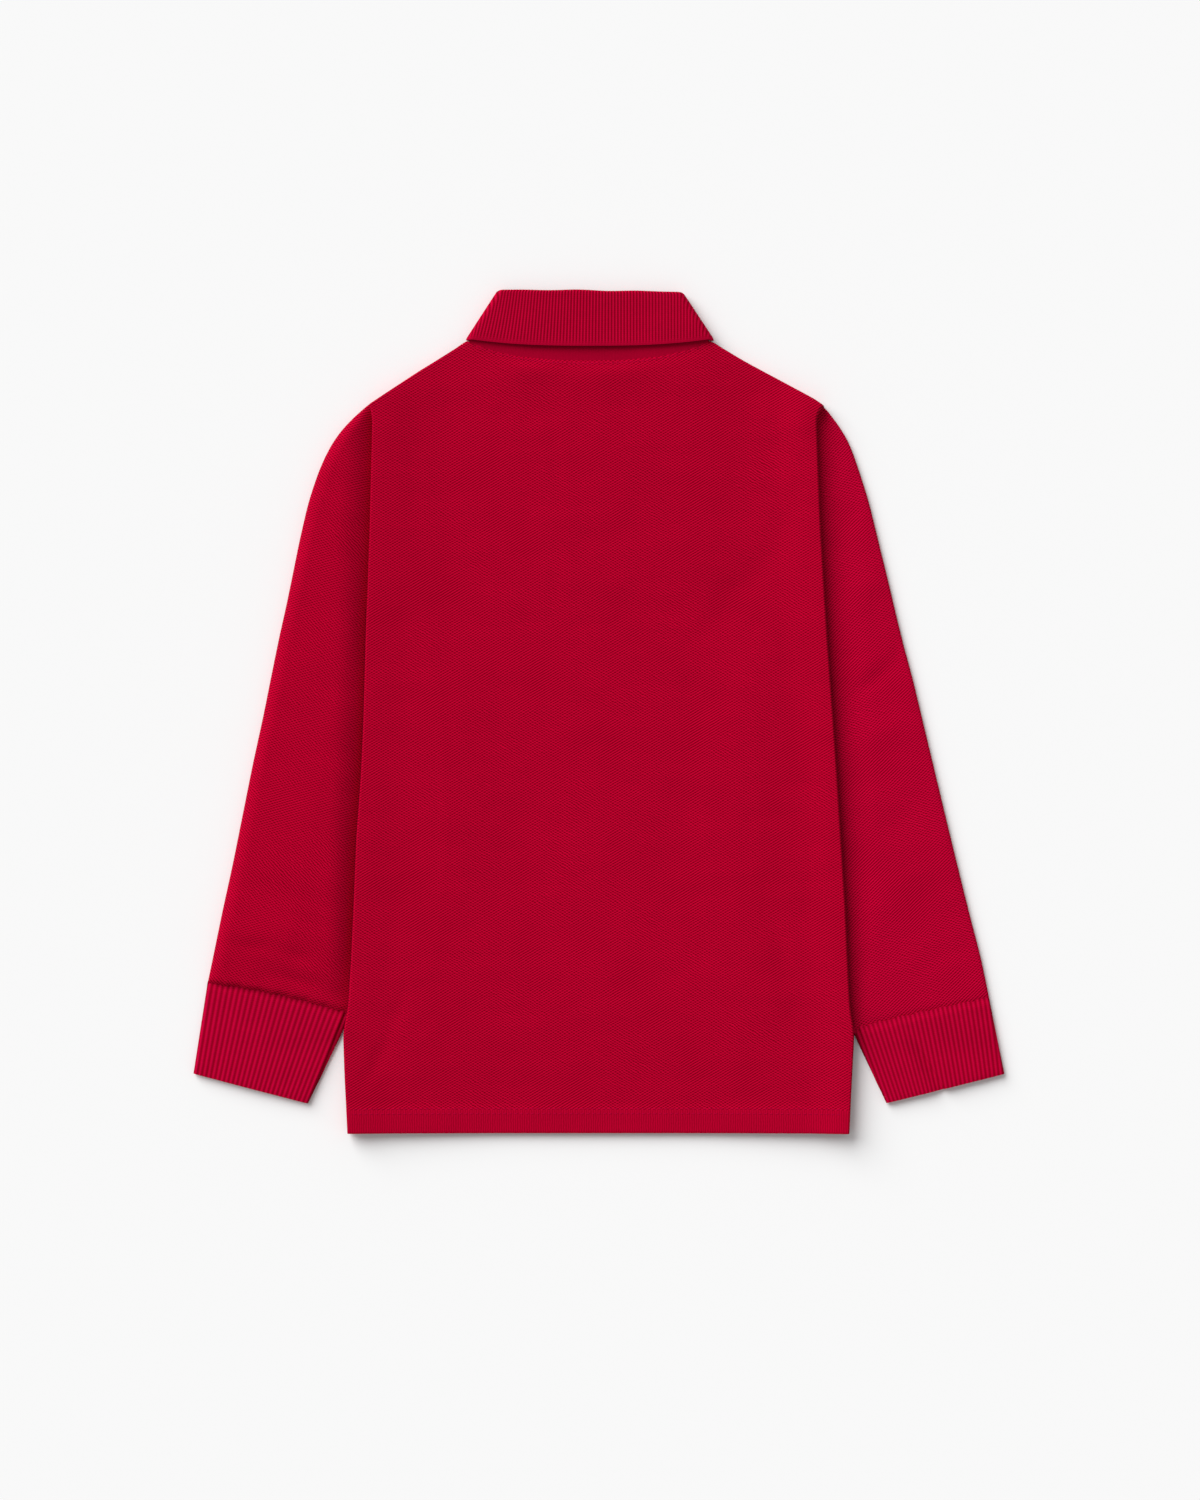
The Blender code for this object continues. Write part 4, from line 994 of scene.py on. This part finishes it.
def strip_shape(lift, tuck):
    """A strip that lies at a lift above the front's face, with its edges tucked in."""
    def shape(u, v):
        x = PLACKET_CENTRE + mix(placket_half, -placket_half, u)
        y = mix(PLACKET_END + SEAM_GAP, front_top(x), v)
        edge = np.minimum(np.minimum(x - PLACKET_CENTRE + placket_half,
                                     PLACKET_CENTRE + placket_half - x), y - PLACKET_END)
        height = rest_height(x, y) + lift
        height += tuck * smooth(1.0 - edge / 1.4) + 0.12 * np.sin(y / 7.0) * smooth(edge / 3.0)
        return np.stack([x, y, height], axis=1), np.stack([x, y], axis=1) * MM

    return shape


placket_upper = lay_cloth("placket_upper_strip", STRIP_COLUMNS, STRIP_ROWS,
                          strip_shape(0.0, 0.25), CLOTH)
placket_under = lay_cloth("placket_under_strip", STRIP_COLUMNS, STRIP_ROWS,
                          strip_shape(CLOTH + SEAM_GAP, 0.0), CLOTH)
for strip, strip_node in ((placket_upper, "placket_upper"), (placket_under, "placket_under")):
    strip.data.materials.append(pique_material("crimson_pique_" + strip_node))
    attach(strip, "root")
    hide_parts(strip_node)
strip_left = PLACKET_CENTRE - placket_half + STRIP_STITCH_INSET
strip_right = PLACKET_CENTRE + placket_half - STRIP_STITCH_INSET
sew("placket_stitches", [
    [(strip_left, STRIP_STITCH_TOP), (strip_left, STRIP_STITCH_FOOT)],
    [(strip_left, STRIP_STITCH_FOOT), (strip_right, STRIP_STITCH_FOOT)],
    [(strip_right, STRIP_STITCH_FOOT), (strip_right, STRIP_STITCH_TOP)],
    [(strip_left, STRIP_STITCH_BOX), (strip_right, STRIP_STITCH_BOX)],
], cloth_tree(front, placket_upper), LOCKSTITCH, from_above=False)


# Buttons: three turned four-hole buttons of crimson plastic, sewn on with a cross of thread
# through the buttonholes of the upper strip. They stay fastened.
BUTTON_HEIGHTS = (140.0, 107.0, 74.0)
BUTTON_HOLE_OFFSET = 1.15
BUTTON_HOLE_RADIUS = 0.62
BUTTON_HOLE_MIDDLE = 1.1
DRILL_LENGTH = 4.0
BUTTON_DARK = (0.21, 0.002, 0.012, 1.0)
BUTTON_LIGHT = (0.36, 0.004, 0.026, 1.0)
CROSS_OFFSETS = (-0.22, 0.22)
CROSS_STRAND = (1.85 * MM, 0.2 * MM, 0.24 * MM)
CROSS_HEIGHT = 0.62
SHANK_RADII = (1.5 * MM, 1.3 * MM)
SHANK_LENGTH = 1.3
SHANK_HEIGHT = 2.45
BUTTONHOLE_WIDTH = 1.25
BUTTONHOLE_LENGTH = 6.9
BUTTONHOLE_BEADS = 44
BUTTONHOLE_BEAD = (0.85 * MM, 0.36 * MM, 0.3 * MM)
ButtonRing = namedtuple("ButtonRing", "radius height")
BUTTON_PROFILE = [
    ButtonRing(0.0, 2.2),
    ButtonRing(3.9, 2.2),
    ButtonRing(4.7, 2.05),
    ButtonRing(5.15, 1.7),
    ButtonRing(5.3, 1.25),
    ButtonRing(5.25, 0.7),
    ButtonRing(5.0, 0.25),
    ButtonRing(4.55, 0.02),
    ButtonRing(4.0, 0.1),
    ButtonRing(3.5, 0.5),
    ButtonRing(2.9, 0.72),
    ButtonRing(0.0, 0.78),
]
button_plastic, button_shader = new_material("crimson_button_plastic")
button_tree = button_plastic.node_tree
button_shader.inputs["Roughness"].default_value = 0.28
button_shader.inputs["Coat Weight"].default_value = 0.3
button_swirl = node(button_tree, "ShaderNodeTexNoise",
                    (node(button_tree, "ShaderNodeTexCoord").outputs["Object"], None, 260.0, 4.0, 0.6))
button_colour = mixed_colour(button_tree, button_swirl.outputs[0], BUTTON_DARK, BUTTON_LIGHT)
button_tree.links.new(button_colour, button_shader.inputs["Base Color"])


def finish_solid(bm, name, material):
    bmesh.ops.remove_doubles(bm, verts=bm.verts, dist=1e-7)
    bmesh.ops.recalc_face_normals(bm, faces=bm.faces)
    piece = mesh_piece(name, bm)
    piece.data.shade_smooth()
    piece.data.set_sharp_from_angle(angle=math.radians(40.0))
    piece.data.materials.append(material)
    return piece


def make_button(name, height):
    """A disc turned to its profile, with its four holes drilled through."""
    bm = bmesh.new()
    profile = [bm.verts.new((ring.radius * MM, 0.0, ring.height * MM)) for ring in BUTTON_PROFILE]
    edges = [bm.edges.new(pair) for pair in zip(profile, profile[1:])]
    bmesh.ops.spin(bm, geom=profile + edges, cent=(0.0, 0.0, 0.0), axis=(0.0, 0.0, 1.0),
                   angle=2.0 * math.pi, steps=48, use_merge=True)
    disc = finish_solid(bm, name, button_plastic)
    bm = bmesh.new()
    for turn in (45.0, 135.0, 225.0, 315.0):
        centre = Vector((math.cos(math.radians(turn)), math.sin(math.radians(turn)), 0.0))
        centre = centre * BUTTON_HOLE_OFFSET * math.sqrt(2.0)
        centre.z = BUTTON_HOLE_MIDDLE
        bmesh.ops.create_cone(bm, cap_ends=True, segments=16, radius1=BUTTON_HOLE_RADIUS * MM,
                              radius2=BUTTON_HOLE_RADIUS * MM, depth=DRILL_LENGTH * MM,
                              matrix=Matrix.Translation(centre * MM))
    drill = finish_solid(bm, "button_drill", button_plastic)
    bore = disc.modifiers.new("holes", "BOOLEAN")
    bore.object = drill
    bore.operation = "DIFFERENCE"
    bore.solver = "EXACT"
    bake_modifiers(disc)
    disc.data.transform(Matrix.Translation(Vector((PLACKET_CENTRE, height, 0.0)) * MM))
    bpy.data.objects.remove(drill, do_unlink=True)
    return disc


for button_index, button_height in enumerate(BUTTON_HEIGHTS):
    button_name = f"button_{button_index + 1}"
    button = make_button(button_name + "_turned", button_height)
    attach(button, "root")
    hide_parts(button_name)
    bm = bmesh.new()
    for across_button in (math.radians(45.0), math.radians(135.0)):
        turn = Matrix.Rotation(across_button, 4, "Z")
        for offset in CROSS_OFFSETS:
            place = Vector((PLACKET_CENTRE - offset * math.sin(across_button),
                            button_height + offset * math.cos(across_button), CROSS_HEIGHT))
            add_bead(bm, place * MM, turn, CROSS_STRAND, around=10, along=8)
    shank = Matrix.Translation(Vector((PLACKET_CENTRE, button_height, SHANK_HEIGHT)) * MM)
    bmesh.ops.create_cone(bm, cap_ends=True, segments=16, radius1=SHANK_RADII[0],
                          radius2=SHANK_RADII[1], depth=SHANK_LENGTH * MM, matrix=shank)
    cross = finish_solid(bm, button_name + "_thread", thread_material)
    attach(cross, "root")
    bm = bmesh.new()
    for step in range(BUTTONHOLE_BEADS):
        turn = 2.0 * math.pi * step / BUTTONHOLE_BEADS
        aside = BUTTONHOLE_WIDTH * math.cos(turn)
        ahead = BUTTONHOLE_LENGTH * math.sin(turn)
        place = Vector((PLACKET_CENTRE + aside, button_height + ahead, COLLAR_STACK - 0.05))
        lean = Matrix.Rotation(math.atan2(ahead, aside) * 0.25, 4, "Z")
        add_bead(bm, place * MM, lean, BUTTONHOLE_BEAD)
    buttonhole = finish_solid(bm, f"buttonhole_{button_index + 1}", thread_material)
    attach(buttonhole, "root")


# Back: the pique panel that shows. Its side edges and shoulders roll down over what lies
# beneath, its hem is turned up once, and the forms of the sleeves, placket and collar under
# it show as soft slopes and creases.
LAYER_GAP = 1.0
SIDE_SEAM_LEFT = 1.3
SIDE_SEAM_RIGHT = 2.6
SIDE_SEAM_REACH = 26.0
NECK_BACK_DEPTH = 11.0
NECK_ROUNDNESS = 2.6
ROLL_REACH = 1.2
ROLL_MARGIN = 1.5
BACK_COLUMN_COUNTS = (0, 9, 123, 132)
BACK_ROW_COUNTS = (0, 4, 188, 196)
BACK_ROW_HEIGHTS = (HEM_HEIGHT, -234.0, 166.0, TIP_HEIGHT)
HEM_STITCH_ROWS = (-222.2, -224.9)
NECK_STITCH_INSET = 1.7
BACK_CREASES = [
    Crease(-91.0, 14.0, -90.0, -130.0, 0.2, 3.0),
    Crease(84.0, 22.0, 84.0, -130.0, 0.16, 4.0),
    Crease(-27.0, 170.0, -25.0, 62.0, -0.16, 3.0),
    Crease(-30.0, 193.0, 30.0, 193.0, 1.5, 12.0),
    Crease(78.0, 184.0, 97.0, 170.0, -0.5, 5.0),
    Crease(96.0, 164.0, 116.0, 156.0, 0.45, 5.0),
    Crease(94.0, 146.0, 116.0, 138.0, -0.5, 5.0),
    Crease(98.0, 127.0, 114.0, 121.0, 0.28, 5.0),
    Crease(104.0, 102.0, 72.0, 58.0, -0.6, 8.0),
    Crease(70.0, 66.0, 38.0, 58.0, -0.5, 8.0),
    Crease(-98.0, 150.0, -84.0, 108.0, -0.2, 7.0),
    Crease(-112.0, 92.0, -92.0, 44.0, 0.2, 7.0),
    Crease(-60.0, 150.0, -36.0, 118.0, 0.16, 7.0),
    Crease(-56.0, 10.0, -30.0, -58.0, -0.18, 10.0),
    Crease(52.0, -10.0, 36.0, -92.0, -0.2, 10.0),
    Crease(20.0, 30.0, 46.0, -16.0, 0.18, 9.0),
    Crease(-34.0, -96.0, 14.0, -150.0, 0.18, 11.0),
    Crease(66.0, -116.0, 22.0, -176.0, -0.18, 9.0),
    Crease(-112.0, -166.0, -129.0, -204.0, -0.55, 4.0),
    Crease(98.0, -126.0, 107.0, -160.0, -0.6, 6.0),
    Crease(99.0, -168.0, 119.0, -197.0, 0.34, 5.0),
    Crease(-104.0, -60.0, -112.0, -120.0, -0.2, 6.0),
    Crease(106.0, -20.0, 112.0, -92.0, 0.22, 6.0),
    Crease(-96.0, -176.0, -60.0, -200.0, -0.18, 8.0),
]


def neck_belly(share):
    """0 at both ends of the back of the neck and 1 in its middle."""
    return 1.0 - np.abs(2.0 * share - 1.0) ** NECK_ROUNDNESS


def neck_seam(x):
    share = np.clip((x - NECK_LEFT) / (NECK_RIGHT - NECK_LEFT), 0.0, 1.0)
    return NECK_SIDE_HEIGHT - NECK_BACK_DEPTH * neck_belly(share)


def back_top(x):
    inside = (x > NECK_LEFT) & (x < NECK_RIGHT)
    return np.where(inside, neck_seam(x) - 0.1, shoulder_height(x))


def hem_extra(y):
    return HEM_EXTRA * smooth((HEM_HEIGHT + HEM_DEPTH + 3.0 - y) / 4.0)


def rolled_down(distance):
    """How far down a rolled edge is at a distance inside its outline."""
    share = np.clip(1.0 - distance / ROLL_REACH, 0.0, 1.0)
    return 1.0 - np.sqrt(1.0 - share * share)


def back_shape(u, v):
    _, left_edge, right_edge, last = BACK_COLUMN_COUNTS
    column = u * last
    row_height = np.interp(v * BACK_ROW_COUNTS[-1], BACK_ROW_COUNTS, BACK_ROW_HEIGHTS)
    left, right = body_side(row_height, "left"), body_side(row_height, "right")
    near = ROLL_REACH + ROLL_MARGIN
    inset = np.interp(column, BACK_COLUMN_COUNTS, (0.0, near, near, 0.0))
    middle_share = np.clip((column - left_edge) / (right_edge - left_edge), 0.0, 1.0)
    x = mix(left + near, right - near, middle_share)
    x = np.where(column < left_edge, left + inset, np.where(column > right_edge, right - inset, x))
    top = back_top(x)
    y = bent_rows(row_height, top)
    from_side = np.minimum(x - left, right - x)
    height = back_rest(x, y) + 2.0 * CLOTH + LAYER_GAP + 2.0 * hem_extra(y)
    height += SIDE_SEAM_LEFT * smooth(1.0 - (x - left) / SIDE_SEAM_REACH)
    height += SIDE_SEAM_RIGHT * smooth(1.0 - (right - x) / SIDE_SEAM_REACH)
    past_neck = np.maximum(NECK_LEFT - x, x - NECK_RIGHT)
    from_top = np.where(past_neck > 0.0, top - y, 50.0)
    free = smooth(from_side / 9.0) * smooth((y - HEM_HEIGHT - HEM_DEPTH) / 12.0)
    free *= smooth((top - y) / 8.0)
    height += free * (creased(BACK_CREASES, x, y) + ripple(x, y, 7.0, 34.0, 0.32))
    height += 0.1 * smooth((y - HEM_HEIGHT) / 3.0) * ripple(x, y, 2.0, 9.0, 1.0)
    down = np.maximum(rolled_down(from_side), rolled_down(from_top) * smooth(past_neck / 8.0))
    height = mix(height, rest_height(x, y) + 0.05, down)
    height -= 0.35 * smooth(1.0 - (y - HEM_HEIGHT) / 1.0)
    height -= 0.5 * smooth(1.0 - (top - y) / 1.6) * (past_neck < 0.0)
    return np.stack([x, y, height], axis=1), np.stack([x, y], axis=1) * MM


back = lay_cloth("back_panel", BACK_COLUMN_COUNTS[-1], BACK_ROW_COUNTS[-1], back_shape, CLOTH)
back.data.materials.append(pique_material("crimson_pique_back", hem_line=HEM_HEIGHT + HEM_DEPTH))
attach(back, "root")
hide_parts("back")
back_tree = cloth_tree(back)
hem_stitches = sew("hem_stitches_back", [
    [(-138.0, height), (137.0, height)] for height in HEM_STITCH_ROWS
], back_tree, Row(3.1, 2.1, 0.02))
sew("hem_stitches_front", [
    [(-136.0, height), (135.0, height)] for height in HEM_STITCH_ROWS
], cloth_tree(front), Row(3.1, 2.1, -0.15), from_above=False)
neck_places = np.linspace(NECK_LEFT + 1.5, NECK_RIGHT - 1.5, 90)
neck_line = [(x, float(neck_seam(np.array(x))) - NECK_STITCH_INSET) for x in neck_places]
neck_stitches = sew("neck_stitches", [neck_line], back_tree, Row(2.4, 1.7, 0.0))


# Collar: one strip of rib knit, sewn round the neck. It stands up, turns over along its
# fold and falls down outside, and its free edge is a smooth knitted welt.
COLLAR_CLOTH = 1.5
COLLAR_MIDDLE = 4.1
STAND_OFFSET = 1.0
FALL_OFFSET = 3.2
FOLD_HEIGHT = 232.9
FOLD_RISE_LEFT = 0.7
FOLD_RISE_RIGHT = -0.5
FOLD_X = (-53.8, 43.8)
EDGE_X = (-70.9, 60.4)
FRONT_X = (-6.4, -5.1)
POINT_X = (-50.0, 38.5)
FALL_EDGE_HEIGHT = 207.2
FALL_EDGE_DIP = 3.6
COLLAR_POINT_HEIGHT = 139.0
FRONT_FOLD_HEIGHT = 167.5
EDGE_CURVE = 0.3
COLLAR_RIB = 1.75
FALL_LIFT = 0.8
# Painted shade: the collar's groove colour is darker than its ridge colour, for the shade that falls
# between the ribs.
COLLAR_GROOVE_PAINTED_SHADE = (0.21, 0.0005, 0.008, 1.0)
COLLAR_RIDGE = (0.53, 0.0012, 0.036, 1.0)
COLLAR_RIB_RELIEF = 0.24
COLLAR_WELT = 3.6
STAND_X = (-72.4, 61.0)
STAND_PLAIN = 0.6
STAND_TUCK = 1.3
FRONT_LENGTH = 76.0
FALL_LENGTH = 28.0
COLLAR_COUNTS = (0, 200, 216, 656, 672, 872)
FRONT_COUNT, BACK_START, BACK_END, SECOND_FRONT, LAST_COUNT = COLLAR_COUNTS[1:]
COLLAR_HALF = LAST_COUNT // 2
LEVEL_COUNTS = (0, 10, 20, 42)
PLAIN_LEVEL = 5.0
RIB_START = 1.8
RIB_AT_WELT = 0.25
EDGE_DROP = 0.3
STAND_DROP = 0.7
LEAN_PLACES = (-66.0, -41.0, -16.0, 10.0)
RIB_LEAN = (0.24, 0.1, 0.03, 0.0)
LEAN_HEIGHT = 222.0


def quarter_arc(start, end, share):
    """Quarter ellipse that leaves start downwards and reaches end level."""
    angle = 0.5 * math.pi * share
    return (end[0] + (start[0] - end[0]) * np.cos(angle),
            start[1] + (end[1] - start[1]) * np.sin(angle))


def pair_mix(low, high, share):
    return mix(low[0], high[0], share), mix(low[1], high[1], share)


def collar_plan(column):
    """Places in plan of the fold, the neck seam and the free edge along the strip."""
    back_share = np.clip((column - BACK_START) / (BACK_END - BACK_START), 0.0, 1.0)
    rise = mix(FOLD_RISE_LEFT, FOLD_RISE_RIGHT, back_share)
    wave = 0.28 * np.sin(back_share * 17.0 + 0.6) * np.sin(back_share * math.pi)
    belly = neck_belly(back_share)
    fold = (mix(FOLD_X[0], FOLD_X[1], back_share), FOLD_HEIGHT + rise + wave)
    stand = (mix(STAND_X[0], STAND_X[1], back_share), NECK_SIDE_HEIGHT - NECK_BACK_DEPTH * belly)
    fall = (mix(EDGE_X[0], EDGE_X[1], back_share), FALL_EDGE_HEIGHT - FALL_EDGE_DIP * belly)
    ends = ((0, FRONT_COUNT - column, FOLD_RISE_LEFT), (1, column - SECOND_FRONT, FOLD_RISE_RIGHT))
    for end, past, end_rise in ends:
        here = past > 0.0
        share = np.clip(past / FRONT_COUNT, 0.0, 1.0)
        front_x = FRONT_X[end]
        fold_here = quarter_arc((FOLD_X[end], FOLD_HEIGHT + end_rise),
                                (front_x, FRONT_FOLD_HEIGHT), share)
        stand_here = quarter_arc((STAND_X[end], NECK_SIDE_HEIGHT),
                                 (front_x, NECK_SIDE_HEIGHT - NECK_FRONT_DEPTH), share)
        start = (EDGE_X[end], FALL_EDGE_HEIGHT)
        point = (POINT_X[end], COLLAR_POINT_HEIGHT)
        fall_here = pair_mix(pair_mix(start, point, share), quarter_arc(start, point, share),
                             EDGE_CURVE)
        fold = tuple(np.where(here, a, b) for a, b in zip(fold_here, fold))
        stand = tuple(np.where(here, a, b) for a, b in zip(stand_here, stand))
        fall = tuple(np.where(here, a, b) for a, b in zip(fall_here, fall))
    return fold, stand, fall


def collar_shape(u, v):
    column = u * COLLAR_COUNTS[-1]
    level = v * LEVEL_COUNTS[-1]
    around = np.radians(np.interp(column, COLLAR_COUNTS, (-90, -90, 90, 90, -90, -90)))
    side_sign = np.where(column < COLLAR_HALF, -1.0, 1.0)
    stand_share = np.clip(1.0 - level / LEVEL_COUNTS[1], 0.0, 1.0)
    turn = np.radians(np.interp(level, LEVEL_COUNTS, (-90, -90, 90, 90)))
    fall_share = np.clip((level - LEVEL_COUNTS[2]) / (LEVEL_COUNTS[3] - LEVEL_COUNTS[2]), 0.0, 1.0)
    fold, stand, fall = collar_plan(column)
    fold, stand, fall = [np.stack(place, axis=1) for place in (fold, stand, fall)]
    down_stand, down_fall = stand - fold, fall - fold
    stand_length = np.linalg.norm(down_stand, axis=1)
    fall_length = np.linalg.norm(down_fall, axis=1)
    up = -(down_stand / stand_length[:, None] + down_fall / fall_length[:, None])
    up = up / np.linalg.norm(up, axis=1)[:, None]
    plan = fold + down_stand * stand_share[:, None] + down_fall * fall_share[:, None]
    # Place along the strip in ribs: straight across the back, and round each front.
    past = np.maximum(np.maximum(FRONT_COUNT - column, column - SECOND_FRONT), 0.0) / FRONT_COUNT
    fold_x = np.where(side_sign < 0.0, *FOLD_X)
    edge_x = np.where(side_sign < 0.0, *EDGE_X)
    end_x = mix(fold_x, edge_x, fall_share)
    middle_x = 0.5 * (fold_x + edge_x)
    bulge = side_sign * 0.5 * (FALL_OFFSET + STAND_OFFSET)
    bulge += side_sign * 0.5 * (FALL_OFFSET - STAND_OFFSET) * np.sin(turn)
    reach = np.where(around > 0.0, np.cos(around), 2.0 - np.cos(around))
    straight = plan[:, 0] + bulge * reach
    fronts = mix(end_x, middle_x, past) + 2.0 * bulge + side_sign * FRONT_LENGTH * past
    place = np.where(past > 0.0, fronts, straight)
    lean = np.interp(plan[:, 0], LEAN_PLACES, RIB_LEAN) * (plan[:, 1] - LEAN_HEIGHT)
    lean = lean * np.clip((column - FRONT_COUNT) / (BACK_START - FRONT_COUNT), 0.0, 1.0)
    ribs = (place - lean) / COLLAR_RIB
    to_edge = (1.0 - fall_share) * FALL_LENGTH
    strength = smooth((level - PLAIN_LEVEL) / 5.0)
    strength = strength * mix(RIB_AT_WELT, 1.0, smooth((to_edge - RIB_START) / RIB_START))
    strength = strength * mix(0.2, 1.0, np.abs(np.sin(turn) * np.sin(around)))
    outward = 0.5 * COLLAR_CLOTH + COLLAR_RIB_RELIEF * strength * rib_profile(ribs)
    outward -= EDGE_DROP * smooth(1.0 - to_edge)
    fold_radius = 0.5 * (FALL_OFFSET - STAND_OFFSET)
    offset = 0.5 * (FALL_OFFSET + STAND_OFFSET) + (fold_radius + outward) * np.sin(turn)
    beyond = (fold_radius + outward) * np.cos(turn)
    tuck = smooth((1.5 - level) / 1.5)
    plan = plan + up * beyond[:, None]
    plan = plan + down_stand / stand_length[:, None] * (STAND_TUCK * tuck)[:, None]
    sideways = np.cos(around) * offset * side_sign
    sag = creased(COLLAR_CREASES, plan[:, 0], plan[:, 1]) * (turn > 0.0) * (around > 0.0)
    arch = (column - FRONT_COUNT) * (SECOND_FRONT - column) / (COLLAR_HALF - FRONT_COUNT) ** 2
    lift = FALL_LIFT * fall_share ** 2 * np.clip(arch, 0.0, 1.0)
    height = COLLAR_MIDDLE + (offset - STAND_DROP * tuck) * np.sin(around) + sag + lift
    points = np.stack([plan[:, 0] + sideways, plan[:, 1], height], axis=1)
    knitted = np.where(level < 8.0, mix(STAND_PLAIN, to_edge, smooth((level - 6.0) / 2.0)), to_edge)
    return points, np.stack([ribs, knitted * MM], axis=1)


COLLAR_CREASES = [
    Crease(-44.0, 231.0, -52.0, 210.0, -0.2, 5.0),
    Crease(-12.0, 230.0, -6.0, 208.0, 0.2, 7.0),
    Crease(28.0, 231.0, 24.0, 209.0, -0.2, 6.0),
    Crease(47.0, 222.0, 58.0, 209.0, 0.2, 4.0),
]
collar = lay_cloth("collar_rib", COLLAR_COUNTS[-1], LEVEL_COUNTS[-1], collar_shape, COLLAR_CLOTH,
                   mirrored=True)
collar.data.materials.append(rib_material("crimson_rib_collar", COLLAR_GROOVE_PAINTED_SHADE, COLLAR_RIDGE,
                                          welt=COLLAR_WELT))
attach(collar, "root")
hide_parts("collar")
